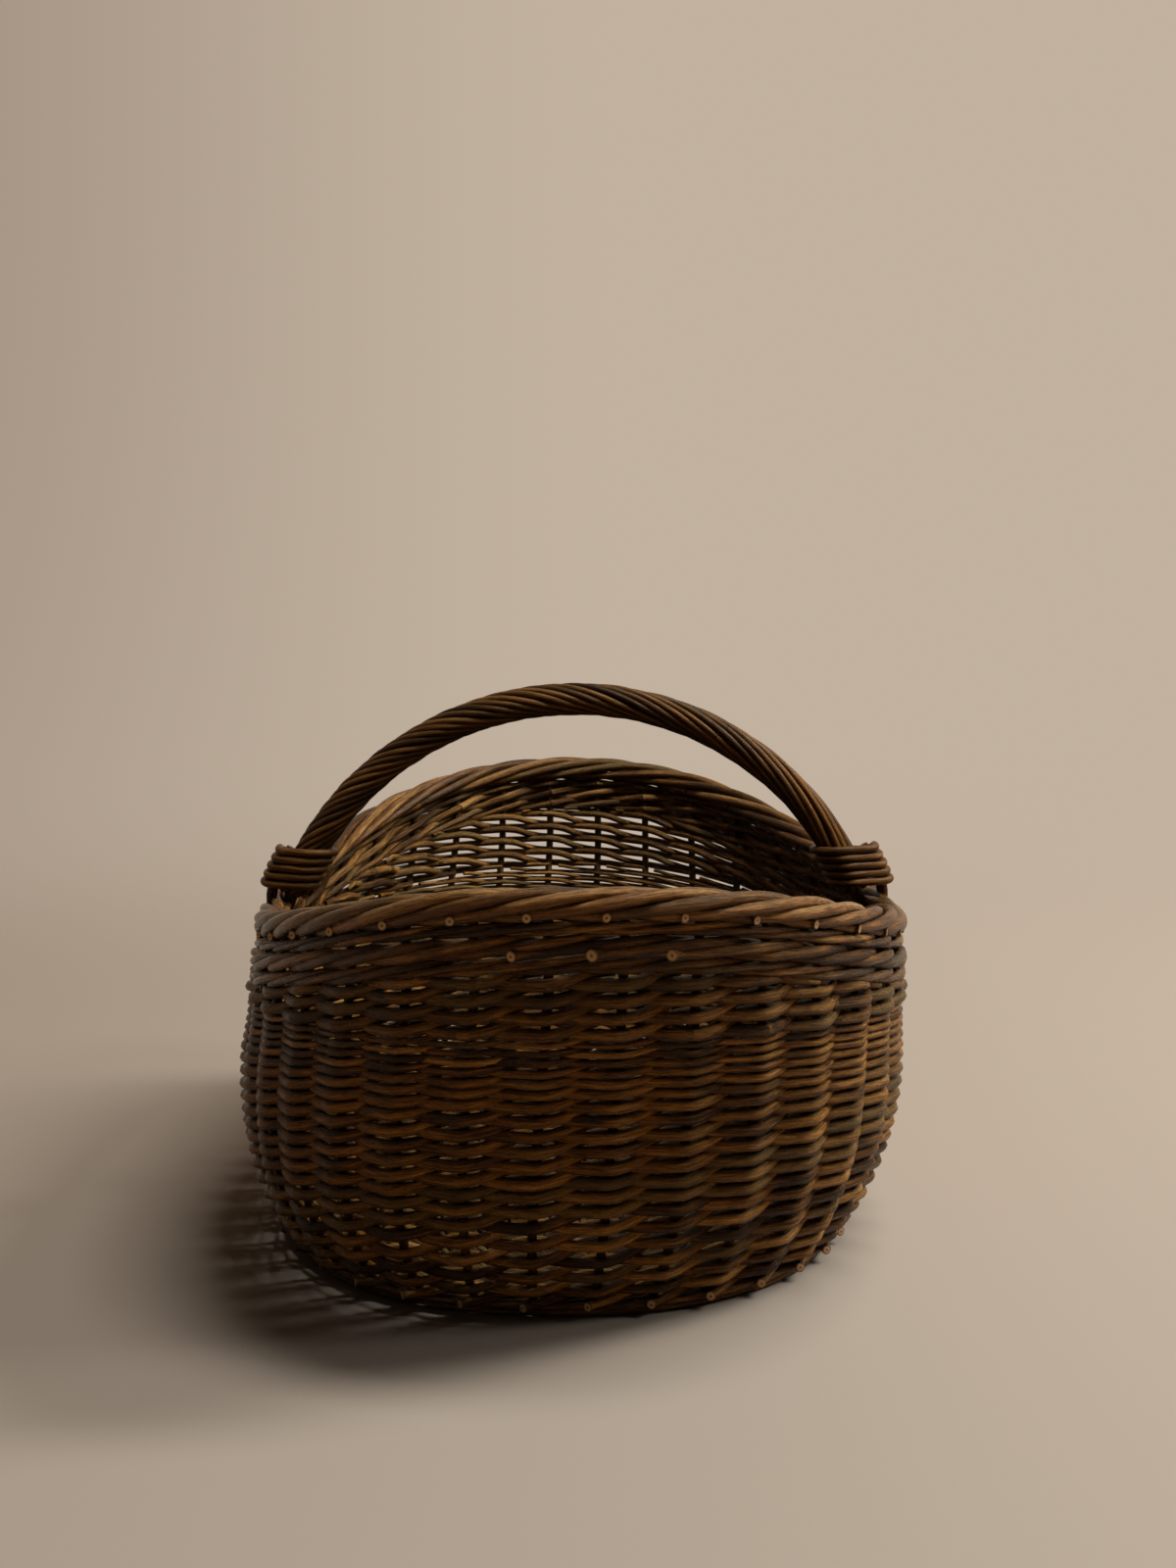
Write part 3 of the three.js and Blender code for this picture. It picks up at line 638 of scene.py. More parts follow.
class Finishes:
    """All the materials of the basket."""

    barks: dict[str, BarkFinish] = {
        "weave": BarkFinish("willow_weave_bark"),
        "packing": BarkFinish("willow_packing_bark", middle=(0.150, 0.066, 0.0120),
                              light=(0.290, 0.140, 0.034)),
        "wale": BarkFinish("willow_wale_bark", middle=(0.150, 0.064, 0.0130), grey=(0.075, 0.047, 0.019)),
        "border": BarkFinish("willow_border_bark", dark=(0.045, 0.017, 0.0035), middle=(0.165, 0.066, 0.0135),
                             light=(0.310, 0.155, 0.047), shine=0.24, relief=0.6),
        "stake": BarkFinish("willow_stake_bark", dark=(0.022, 0.008, 0.0018), middle=(0.078, 0.031, 0.0070),
                            light=(0.130, 0.060, 0.018)),
        "roping": BarkFinish("willow_roping_bark", dark=(0.030, 0.012, 0.0030), middle=(0.105, 0.043, 0.0090),
                             light=(0.190, 0.086, 0.022), grey=(0.045, 0.030, 0.014), roughness=0.36,
                             relief=0.3),
        "base": BarkFinish("willow_base_bark", dark=(0.018, 0.007, 0.0015), middle=(0.050, 0.022, 0.006),
                           light=(0.080, 0.041, 0.014), roughness=0.55),
        "stick": BarkFinish("willow_stick_bark", dark=(0.030, 0.012, 0.003), middle=(0.095, 0.041, 0.011),
                            light=(0.150, 0.078, 0.026), grey=(0.080, 0.050, 0.022), roughness=0.6, shine=0.5,
                            shine_tint=(1.0, 1.0, 1.0), relief=0.3, relief_depth=0.0004, on_solid=True),
    }
    cut_rings = ((0.0, (0.055, 0.026, 0.010)), (0.22, (0.080, 0.040, 0.016)), (0.36, (0.46, 0.30, 0.15)),
                 (0.66, (0.50, 0.33, 0.17)), (0.80, (0.30, 0.17, 0.075)), (0.95, (0.055, 0.028, 0.010)))

    def __init__(self) -> None:
        """Builds the shared grain and the materials."""
        grain = self._bark_grain()
        self.bark = {name: finish.build(grain) for name, finish in self.barks.items()}
        self.cut_wood = self._cut_wood()

    def _bark_grain(self) -> bpy.types.NodeTree:
        """Builds the shader group for bark: streaks along the rod, spots, stains and painted shade."""
        tree = bpy.data.node_groups.new("bark_grain", "ShaderNodeTree")
        for in_out, kind, names in (("INPUT", "Vector", ("Bark Space", "Rod Tint")),
                                    ("INPUT", "Color", ("Dark", "Middle", "Light", "Grey")),
                                    ("INPUT", "Float", ("Base Roughness", "Painted Shade Factor")),
                                    ("OUTPUT", "Color", ("Colour",)),
                                    ("OUTPUT", "Float", ("Roughness", "Relief"))):
            for name in names:
                tree.interface.new_socket(name, in_out=in_out, socket_type=f"NodeSocket{kind}")
        make = NodeTree(tree)
        given = make.add("NodeGroupInput").outputs
        light, _, grey = make.split(given["Rod Tint"])

        def noise(stretch: Colour, detail: float, rough: float = 0.55) -> Socket:
            """Noise on the bark, stretched along the rod."""
            place = make.vector("MULTIPLY", given["Bark Space"], stretch)
            return make.one("ShaderNodeTexNoise", {"Vector": place, "Scale": 1.0, "Detail": detail,
                                                   "Roughness": rough})

        streak = noise((0.70, 0.70, 0.030), 5.0, 0.7)
        fine = noise((1.5, 1.5, 0.10), 4.0, 0.7)
        patch = noise((0.12, 0.12, 0.030), 3.0)
        spot = noise((0.9, 0.9, 0.45), 3.0)
        tone = make.math("ADD", make.math("ADD", light, make.centred(patch, 1.6)), make.centred(streak, 2.2))
        tone = make.math("MULTIPLY", make.one("ShaderNodeClamp", {0: tone}), 2.0)
        colour = make.mix(tone, given["Dark"], given["Middle"])
        colour = make.mix(make.math("SUBTRACT", tone, 1.0), colour, given["Light"])
        colour = make.mix(grey, colour, given["Grey"])
        speck = make.spread(spot, 0.60, 0.72, 0.0, 0.55)
        colour = make.mix(speck, colour, given["Dark"])
        shade = make.spread(fine, 0.34, 0.66, 0.35, 1.65)
        # Painted shade: the colour is dimmed to 0.22 where the rods face down, and less on their very tops.
        painted_shade_dim = make.spread(given["Painted Shade Factor"], 0.0, 1.0, 0.22, 1.0)
        relief = make.math("ADD", fine, make.math("MULTIPLY", streak, 0.8))
        make.add("NodeGroupOutput", {
            "Colour": make.scaled(colour, make.math("MULTIPLY", shade, painted_shade_dim)),
            "Roughness": make.math("ADD", given["Base Roughness"], make.centred(fine, 0.9)),
            "Relief": make.math("ADD", relief, make.math("MULTIPLY", speck, 0.5))})
        return tree

    def _cut_wood(self) -> Material:
        """Builds the pale wood of the cut ends, with its dark pith and rings."""
        material, make = start_material("willow_cut_wood")
        far = make.length(make.attribute("cut_space"))
        stain = make.one("ShaderNodeTexNoise", {"Vector": make.place(), "Scale": 900.0, "Detail": 4.0})
        ramp = make.add("ShaderNodeValToRGB", {0: make.math("ADD", far, make.centred(stain, 0.35))})
        rings = ramp.color_ramp.elements
        while len(rings) < len(self.cut_rings):
            rings.new(0.5)
        for ring, (spot, colour) in zip(rings, self.cut_rings):
            ring.position = spot
            ring.color = (*colour, 1.0)
        bump = make.one("ShaderNodeBump", {"Strength": 0.3, "Distance": 0.0002, "Height": stain})
        shader = make.one("ShaderNodeBsdfPrincipled", {"Base Color": ramp.outputs[0], "Normal": bump,
                                                       "Roughness": 0.75})
        make.add("ShaderNodeOutputMaterial", {"Surface": shader})
        return material


def dress(piece: Piece, slot: str, *nodes: str) -> None:
    """Ties a piece to the body and hides the solids that it stands for."""
    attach(piece, "root")
    if nodes:
        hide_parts(*nodes)


@dataclass
class WallStakes:
    """The upright stakes, from inside the base up into the border."""

    shape: BasketShape
    radius: float = 2.35
    turn_height: float = 15.0
    base_gap: float = 14.4
    insert: float = 24.0
    base_middle: float = 6.5
    bend_lift: float = 2.2
    bend_share: float = 0.65
    last_inside: float = 0.6
    into_border: float = 8.0
    aim_half_length: float = 72.0
    straight_half_width: float = 15.7
    wall_points: int = 26
    wander: Wander = Wander(0.45, 500, 45.0)
    steady_height: float = 20.0
    steady_fade: float = 30.0
    seed: int = 11

    def path(self, k: int) -> Array:
        """Middle line of stake k."""
        shape = self.shape
        middle = shape.middle_x(0)
        angle = shape.angle_at(k + 0.5)
        u, v = shape.outline(angle)
        edge = np.array([middle + (shape.base_half_width - self.base_gap) * u,
                         (shape.base_half_length - self.base_gap) * v, self.base_middle])
        aim = np.array([middle, np.clip(edge[1], -self.aim_half_length, self.aim_half_length), edge[2]])
        if abs(edge[0] - aim[0]) < self.straight_half_width:
            aim[0] = edge[0]
        start = edge + unit(aim - edge) * self.insert
        top = float(shape.rim_top(angle)) - shape.border_height + self.into_border
        heights = np.linspace(self.turn_height, top, self.wall_points)
        free = np.clip((heights - self.steady_height) / self.steady_fade, 0, 1)
        wander = self.wander.at(heights, k) * free
        wall = shape.at(k + 0.5 + wander / shape.stake_count, heights, 0.0)
        bend = edge * (1 - self.bend_share) + wall[0] * self.bend_share
        bend[2] = self.base_middle + self.bend_lift
        inside = start * (1 - self.last_inside) + edge * self.last_inside
        return np.vstack([start, inside, edge, bend, wall])

    def make(self, maker: RodMaker, finishes: Finishes) -> None:
        """Makes and dresses each stake as a piece of its own."""
        chance = random.Random(self.seed)
        for k in range(self.shape.stake_count):
            rod = Rod.even(self.path(k), self.radius, pick_tint(chance, tone=0.35, spread=0.2))
            name = f"stake_{k + 1:02d}"
            piece = maker.rods(f"upright_{name}", [rod], finishes.bark["stake"], sides=10, uneven=0.04)
            dress(piece, "willow_stake", name)


@dataclass
class SideWeave:
    """French rand: each weaver goes in front of one stake and behind the next."""

    shape: BasketShape
    steps: int = 10
    rows: tuple[float, ...] = (7.5, 15.0, 23.5, 33.0, 43.5, 53.5, 63.0, 71.5, 79.5, 88.0, 96.5, 105.0, 113.5,
                               121.0, 127.5, 133.3, 138.6, 143.6, 148.4, 153.0, 157.5)
    radii: tuple[float, ...] = (2.4, 2.5, 2.6, 2.75, 2.85, 2.9, 3.0, 3.05, 3.17, 3.22, 3.22, 3.17, 3.07, 2.87,
                                2.5, 2.25, 2.05, 1.9, 1.8, 1.65, 1.65)
    rounds: int = 20
    tip_short: float = 1.2
    side_share: float = 0.865
    full_share_row: float = 3.0
    stake_radius: float = 2.4
    press: float = 0.35
    foot_rounds: int = 2
    butt: float = -0.12
    butt_length: float = 0.3
    butt_drop: float = 0.2
    butt_out: float = 0.9
    butt_turn: float = 2.8
    end_slant: float = 0.5
    end_lift: float = 0.5
    uneven: float = 0.05
    uneven_step: float = 12.9
    far_thinner: float = 0.27
    thin_height: float = 95.0
    thin_fade: float = 35.0
    height_wander: Wander = Wander(0.5, 40, 1.3)
    reach_wander: Wander = Wander(0.2, 90, 0.9)
    climb: Knots = ((-0.5, 0.0, 0.25, 0.5, 0.75, 1.0, 1.5), (-0.06, 0.0, 0.15, 0.43, 0.82, 0.97, 0.94))
    bends: Knots = ((-1.0, -0.9, -0.5, -0.05, 0.04, 0.5, 0.8, 1.0),
                    (-0.97, -0.85, 0.22, 1.0, 0.98, -0.38, -0.98, -0.97))
    seed: int = 23

    def height(self, row: Array, place: Array) -> Array:
        """Height of a row at a place: rows lie closer together at the low sides."""
        share = self.side_share + (1 - self.side_share) * self.shape.end_share(self.shape.angle_at(place))
        level = np.interp(row, np.arange(len(self.rows)), self.rows)
        low = np.clip(row / self.full_share_row, 0, 1)
        return level * (1 - low + low * share)

    def slimmed(self, radius: Array, place: Array, z: Array) -> Array:
        """Radius of the rods with the thin tips that the upper part of the far end shows."""
        upper = np.clip((z - self.thin_height) / self.thin_fade, 0, 1)
        return radius * (1 - self.far_thinner * self.shape.far_share(place) * upper)

    def stroke(self, run: Array) -> tuple[Array, Array]:
        """How far the rod is past the last stake in front of it, in pitches, and its row."""
        turn = np.floor((run + 0.5) / 2)
        x = run - 2 * turn
        return x, turn + np.interp(x, *self.climb)

    def out(self, x: Array, reach: Array) -> Array:
        """How far out of the wall's middle the rod is at x pitches past a stake in front."""
        return reach * np.interp(np.mod(x + 1, 2) - 1, *self.bends)

    def weaver(self, w: int, first: float, last: float, tint: Colour) -> Rod:
        """One weaver between two places of its own run, in pitches from its first stake."""
        count = max(int(round((last - first) * self.steps)), 2)
        run = np.linspace(first, last, count + 1)
        x, row = self.stroke(run)
        place = w + 0.5 + run
        radius = np.interp(row, np.arange(len(self.radii)), self.radii)
        radius = radius * (1 + self.uneven * math.sin(w * self.uneven_step))
        z = self.height(row, place) + self.height_wander.at(place, w)
        radius = self.slimmed(radius, place, z)
        out = self.out(x, self.stake_radius + radius - self.press) + self.reach_wander.at(place, w)
        start = np.clip(1 - (run - self.butt) / self.butt_length, 0, 1)
        z = z - self.butt_drop * start
        out = self.shape.round_bow(place, z, out + self.butt_out * start)
        points = self.shape.at(place, z, out)
        if first == self.butt:
            points[0] += self.butt_turn * self.shape.outward(place[0])
        return Rod(points, radius, tint)

    def cut_end(self, w: int, rod: Rod) -> CutEnd:
        """Slanting cut face at the thick end of weaver w."""
        facing = unit(rod.start_way + self.end_slant * unit(self.shape.outward(w + 0.5)))
        return CutEnd(rod.points[0] + facing * self.end_lift, facing, rod.radius[0])

    def make(self, maker: RodMaker, finishes: Finishes) -> None:
        """Makes the weave in a low part, held by the foot, and the rest of the wall."""
        chance = random.Random(self.seed)
        cut = 2 * self.foot_rounds - 0.5
        low, high = [], []
        for w in range(self.shape.stake_count):
            tint = pick_tint(chance)
            low.append(self.weaver(w, self.butt, cut, tint))
            high.append(self.weaver(w, cut, 2 * self.rounds - self.tip_short, tint))
        ends = [self.cut_end(w, rod) for w, rod in enumerate(low)]
        bark = finishes.bark["weave"]
        foot = maker.rods("foot_weavers", low, bark)
        dress(maker.rods("side_weavers", high, bark), "willow_weave", "side_weave")
        dress(foot, "willow_weave")
        dress(maker.cut_ends("foot_cut_ends", ends, finishes.cut_wood), "willow_weave")


@dataclass
class Packing:
    """Thick rods that fill one raised end, between the side weave and the wale."""

    weave: SideWeave
    end: End
    rows: int = 4
    pitch: float = 8.4
    radius: float = 3.0
    first_gap: float = 3.8
    near_higher: float = 2.0
    far_higher: float = 7.0
    overlap: float = 0.6
    first_row: float = -0.2
    half_places: int = 12
    over_top: float = 4.0
    least_room: float = 1.0
    least_length: float = 0.9
    uneven: float = 0.06
    uneven_step: float = 7.3
    press: float = 0.4
    taper: int = 7
    tip_share: float = 0.45
    wander: Wander = Wander(0.4, 300, 1.1)
    seed: int = 31

    def room(self, place: Array) -> tuple[Array, Array]:
        """Lowest and highest level that the packing has at a place."""
        shape = self.weave.shape
        low = self.weave.height(np.full_like(place, self.weave.rounds - self.overlap), place)
        high = shape.rim_top(shape.angle_at(place)) - shape.border_height - shape.wale_height
        return low, high + self.near_higher + self.far_higher * shape.far_share(place)

    def lengths(self, ok: Array) -> list[Array]:
        """Stretches of a run that there is room for, as point numbers."""
        parts = np.split(np.arange(len(ok)), np.flatnonzero(np.diff(ok)) + 1)
        return [part for part in parts if ok[part[0]] and len(part) > self.weave.steps * self.least_length]

    def rods(self) -> list[Rod]:
        """All the rods of this end."""
        weave, shape = self.weave, self.weave.shape
        chance = random.Random(self.seed + self.end.value)
        rods = []
        for w in range(-self.half_places - 2 * self.rows, self.half_places + 1):
            run = np.linspace(-1, 2 * self.rows + 1, (2 * self.rows + 2) * weave.steps + 1)
            x, row = weave.stroke(run)
            place = self.end.value + w + 0.5 + run
            low, high = self.room(place)
            wanted = low + self.first_gap + row * self.pitch
            limit = high - self.radius
            z = np.minimum(wanted, limit)
            ok = (wanted < limit + self.over_top) & (row > self.first_row) & (limit > low + self.least_room)
            thick = np.full_like(z, self.radius) * (1 + self.uneven * math.sin(w * self.uneven_step))
            radius = weave.slimmed(thick, place, z)
            out = weave.out(x, weave.stake_radius + radius - self.press)
            z = z + self.wander.at(place, w + self.end.value)
            points = shape.at(place, z, shape.round_bow(place, z, out))
            for part in self.lengths(ok):
                step = np.arange(len(part))
                ends = np.minimum(step, step[::-1]) / self.taper
                slim = radius[part] * (self.tip_share + (1 - self.tip_share) * np.clip(ends, 0, 1))
                rods.append(Rod(points[part], slim, pick_tint(chance, tone=0.5, spread=0.22, grey=0.3)))
        return rods

    def make(self, maker: RodMaker, finishes: Finishes) -> None:
        """Makes the packing of this end."""
        name = self.end.name.lower()
        piece = maker.rods(f"packing_rods_{name}", self.rods(), finishes.bark["packing"])
        dress(piece, "willow_weave", f"packing_{name}_end")


@dataclass(frozen=True)
class WaleRow:
    """One row of waling: its level, under the rim or above the ground, its rods and their stroke."""

    level: float
    radius: float
    rise: float = 0.45
    phase: float = 0.0


@dataclass
class Wales:
    """Rows of three thicker rods, each in front of two stakes and behind one."""

    shape: BasketShape
    steps: int = 9
    stake_radius: float = 2.4
    press: float = 0.35
    top_rows: tuple[WaleRow, ...] = (WaleRow(18.7, 1.75, 1.9), WaleRow(27.4, 2.6, 3.2, -1.0),
                                     WaleRow(36.7, 2.15, 2.6))
    foot_rows: tuple[WaleRow, ...] = (WaleRow(2.9, 1.85), WaleRow(6.0, 1.7))
    top_seed: int = 700
    foot_seed: int = 900
    row_seeds: int = 20
    far_closer: float = 0.25
    plain_start: float = -1.0
    butt: float = -0.42
    butt_length: float = 0.5
    butt_out: float = 1.35
    butt_turn: float = 2.6
    end_along: float = 0.8
    end_slant: Place = (0.0, -0.6, 0.0)
    end_reach: float = 0.5
    end_lift: float = 0.4
    end_size: float = 1.04
    shown_middle: float = -250.0
    shown_reach: float = 40.0
    thickness_wander: Wander = Wander(0.10, 0, 5.0)
    height_wander: Wander = Wander(0.35, 7, 1.5)
    rise: Knots = ((-0.5, 0.0, 0.5, 1.0, 1.5, 2.0, 2.5), (-1.0, -0.8, -0.1, 0.66, 1.0, 0.2, -1.0))
    reach: Knots = ((-0.5, 0.0, 0.5, 1.0, 1.5, 2.0, 2.5), (0.05, 0.95, 1.02, 0.95, 0.1, -1.0, 0.05))
    seed: int = 47

    def under_rim(self, place: Array, drop: float) -> Array:
        """Height of a row under the rim: the rows lie closer together at the far end."""
        closer = self.shape.far_share(place) * self.far_closer * (drop - self.shape.border_height)
        return self.shape.rim_top(self.shape.angle_at(place)) - drop + closer

    def above_ground(self, place: Array, height: float) -> Array:
        """Height of a row at the foot."""
        return np.full_like(place, height)

    def row(self, height: Callable[[Array, float], Array], row: WaleRow, chance: random.Random,
            seed: int) -> list[Rod]:
        """Rods of one row, cut into lengths where they pass behind a stake.

        Args:
            height: Gives the row's height at places, from its level.
            row: The row.
            chance: The source of the draws.
            seed: First line of noise of the row.

        Returns:
            The rods, in the order in which they are laid.
        """
        shape = self.shape
        rods = []
        last = shape.stake_count - 1.0
        butt = self.butt if row.phase else self.plain_start
        for n in range(3):
            begin = butt
            while begin < last:
                first = begin == butt
                span = min(3 * chance.choice((2, 3)) - (1.0 + butt) * first, last - begin)
                run = np.linspace(begin, begin + span, int(span * self.steps) + 1)
                x = np.mod(run + 0.5, 3) - 0.5
                place = n + 0.5 + row.phase + run
                thick = row.radius * (1 + self.thickness_wander.at(place, seed + n))
                z = height(place, row.level) + row.rise * np.interp(x, *self.rise)
                z = z + self.height_wander.at(place, seed + n)
                out = np.interp(x, *self.reach) * (self.stake_radius + thick - self.press)
                with_butt = first and row.phase != 0
                if with_butt:
                    start = np.clip(1 - (run - butt) / self.butt_length, 0, 1)
                    out = out + (self.stake_radius + self.butt_out * thick - out) * start**0.6
                points = shape.at(place, z, shape.round_bow(place, z, out))
                if with_butt:
                    points[0] += self.butt_turn * shape.outward(place[0])
                rods.append(Rod(points, thick, pick_tint(chance, tone=0.45, spread=0.25, grey=0.28)))
                begin += span
        return rods

    def shows_its_butt(self, rod: Rod) -> bool:
        """True where a rod starts in the near end and outside the middle of the wall."""
        _, y, z = rod.points[0]
        inner = self.shape.half_length(z) - self.shape.wall_centre
        return bool(abs(y - self.shown_middle) < self.shown_reach and abs(y) > inner)

    def butt_end(self, rod: Rod) -> CutEnd:
        """Slanting cut face at the thick end of a wale rod."""
        way = rod.start_way
        facing = unit(way * self.end_along + np.array(self.end_slant))
        centre = rod.points[0] + way * self.end_reach + facing * self.end_lift
        return CutEnd(centre, facing, rod.radius[0] * self.end_size)

    def make(self, maker: RodMaker, finishes: Finishes) -> None:
        """Makes the wale under the border and the one at the foot."""
        chance = random.Random(self.seed)
        top, foot, ends = [], [], []
        for number, row in enumerate(self.top_rows):
            made = self.row(self.under_rim, row, chance, self.top_seed + self.row_seeds * number)
            top += made
            if row.phase:
                ends += [self.butt_end(rod) for rod in made if self.shows_its_butt(rod)]
        for number, row in enumerate(self.foot_rows):
            foot += self.row(self.above_ground, row, chance, self.foot_seed + self.row_seeds * number)
        top_wale = maker.rods("top_wale_rods", top, finishes.bark["wale"], sides=10)
        foot_wale = maker.rods("foot_wale_rods", foot, finishes.bark["wale"])
        dress(maker.cut_ends("wale_cut_ends", ends, finishes.cut_wood), "willow_wale")
        dress(top_wale, "willow_wale", "top_wale")
        dress(foot_wale, "willow_wale", "foot_wale")


@dataclass
class PlaitedBorder:
    """The tops of the stakes, bent down to the right and laid round each other."""

    shape: BasketShape
    radius: float = 3.05
    tip_radius: float = 2.3
    half_width: float = 6.0
    half_height: float = 4.9
    middle_inset: float = 8.0
    middle_drop: float = 7.9
    length: float = 5.72
    sag: float = 1.2
    sag_from: float = 4.9
    tail_length: float = 2.4
    tail_along: float = 0.3
    tail_out: float = 0.95
    end_slant: float = 0.35
    end_lift: float = 0.25
    end_size: float = 0.97
    uneven: float = 0.05
    uneven_step: float = 5.1
    steps: int = 10
    wander: Wander = Wander(0.35, 60, 1.2)
    turns: Knots = ((0, 1.0, 2.8, 4.1, 5.0, length), (-125, -48, 88, 180, 245, 300))
    thickness: Knots = ((0, 1, 3, 5, length), (2.6, radius, radius * 0.98, 2.7, tip_radius))
    seed: int = 59

    def rod(self, k: int, tint: Colour) -> tuple[Rod, CutEnd]:
        """The bent top of stake k and its cut end, about six pitches further on."""
        shape = self.shape
        x = np.linspace(0.0, self.length, int(self.length * self.steps) + 1)
        turn = np.radians(np.interp(x, *self.turns))
        place = k + 0.5 + x
        radius = np.interp(x, *self.thickness) * (1 + self.uneven * math.sin(k * self.uneven_step))
        angle = shape.angle_at(place)
        low = self.sag * np.clip(x - self.sag_from, 0, 1)
        z = shape.rim_top(angle) - self.middle_drop + self.half_height * np.sin(turn) - low
        z = z + self.wander.at(place, k)
        points = shape.on_wall(angle, z, self.middle_inset - self.half_width * np.cos(turn) - low)
        way = unit(points[-1] - points[-2])
        outward = unit(shape.outward(place[-1]))
        tail = points[-1] + (way * self.tail_along + outward * self.tail_out) * self.tail_length
        facing = unit(way * self.end_slant + outward)
        return (Rod(np.vstack([points, tail]), np.append(radius, self.tip_radius), tint),
                CutEnd(tail + facing * self.end_lift, facing, self.tip_radius * self.end_size))

    def make(self, maker: RodMaker, finishes: Finishes) -> None:
        """Makes the border and its cut ends."""
        chance = random.Random(self.seed)
        made = [self.rod(k, pick_tint(chance, tone=0.5, spread=0.32, grey=0.3))
                for k in range(self.shape.stake_count)]
        rods, ends = zip(*made)
        dress(maker.rods("border_rods", rods, finishes.bark["border"], sides=12, uneven=0.05),
              "willow_border", "border")
        dress(maker.cut_ends("border_cut_ends", ends, finishes.cut_wood), "willow_border")


@dataclass
class WovenBase:
    """Oval base: pairs of rods woven round the crossed sticks."""

    shape: BasketShape
    rings: int = 28
    radius: float = 1.62
    lift: float = 4.85
    middle: float = 6.5
    edge_gap: float = 13.2
    slath_half_width: float = 11.6
    slath_half_length: float = 76.0
    slath_squareness: float = 2.2
    stick_places: tuple[float, ...] = (-101.6, -52.5, 0.0, 52.5, 101.6)
    stick_end: float = 4.0
    half_steps: int = 360
    free_length: float = 34.0
    point_gap: float = 6.5
    wave_power: float = 0.7
    seed: int = 71

    def ring(self, share: float) -> Array:
        """Closed middle line of one ring, as x and y, from the near end round."""
        shape = self.shape
        last_x, last_y = shape.base_half_width - self.edge_gap, shape.base_half_length - self.edge_gap
        half_x = self.slath_half_width + (last_x - self.slath_half_width) * share
        half_y = self.slath_half_length + (last_y - self.slath_half_length) * share
        angle = np.linspace(-math.pi / 2, 1.5 * math.pi, 2 * self.half_steps + 1)
        u, v = squared_circle(angle, shape.outline_power + self.slath_squareness * (1 - share) ** 2)
        return np.stack([float(shape.middle_x(0)) + half_x * u, half_y * v], axis=1)

    def crossings(self, line: Array, run: Array) -> list[float]:
        """Lengths along a ring where its rods pass a stick or change over."""
        marks = [0.0, run[-1] / 2]
        reach = line[:, 1].max() - self.stick_end
        for y in (place for place in self.stick_places if abs(place) < reach):
            for half in (slice(0, self.half_steps + 1), slice(self.half_steps, None)):
                part, length = line[half, 1], run[half]
                order = np.argsort(part)
                marks.append(float(np.interp(y, part[order], length[order])))
        marks = sorted(marks) + [run[-1]]
        full = []
        for a, b in zip(marks, marks[1:]):
            extra = int((b - a) / self.free_length)
            full += [a + (b - a) * i / (extra + 1) for i in range(extra + 1)]
        return full + [float(run[-1])]

    def make(self, maker: RodMaker, finishes: Finishes) -> None:
        """Makes the base weave."""
        chance = random.Random(self.seed)
        rods = []
        for i in range(self.rings):
            line = self.ring(i / (self.rings - 1))
            run = run_along(line)
            marks = self.crossings(line, run)
            at = np.linspace(0, run[-1], int(run[-1] / self.point_gap) + 1)
            x, y = (np.interp(at, run, line[:, axis]) for axis in (0, 1))
            wave = np.cos(np.interp(at, marks, np.arange(len(marks)) * math.pi))
            rise = self.lift * np.sign(wave) * np.abs(wave) ** self.wave_power
            for sign in (1, -1) if i % 2 else (-1, 1):
                points = np.stack([x, y, self.middle + sign * rise], axis=1)
                rods.append(Rod.even(points, self.radius, pick_tint(chance, tone=0.4, spread=0.2, grey=0.4)))
        piece = maker.rods("base_rods", rods, finishes.bark["base"], sides=6, uneven=0.05)
        dress(piece, "willow_base", "base_weave")


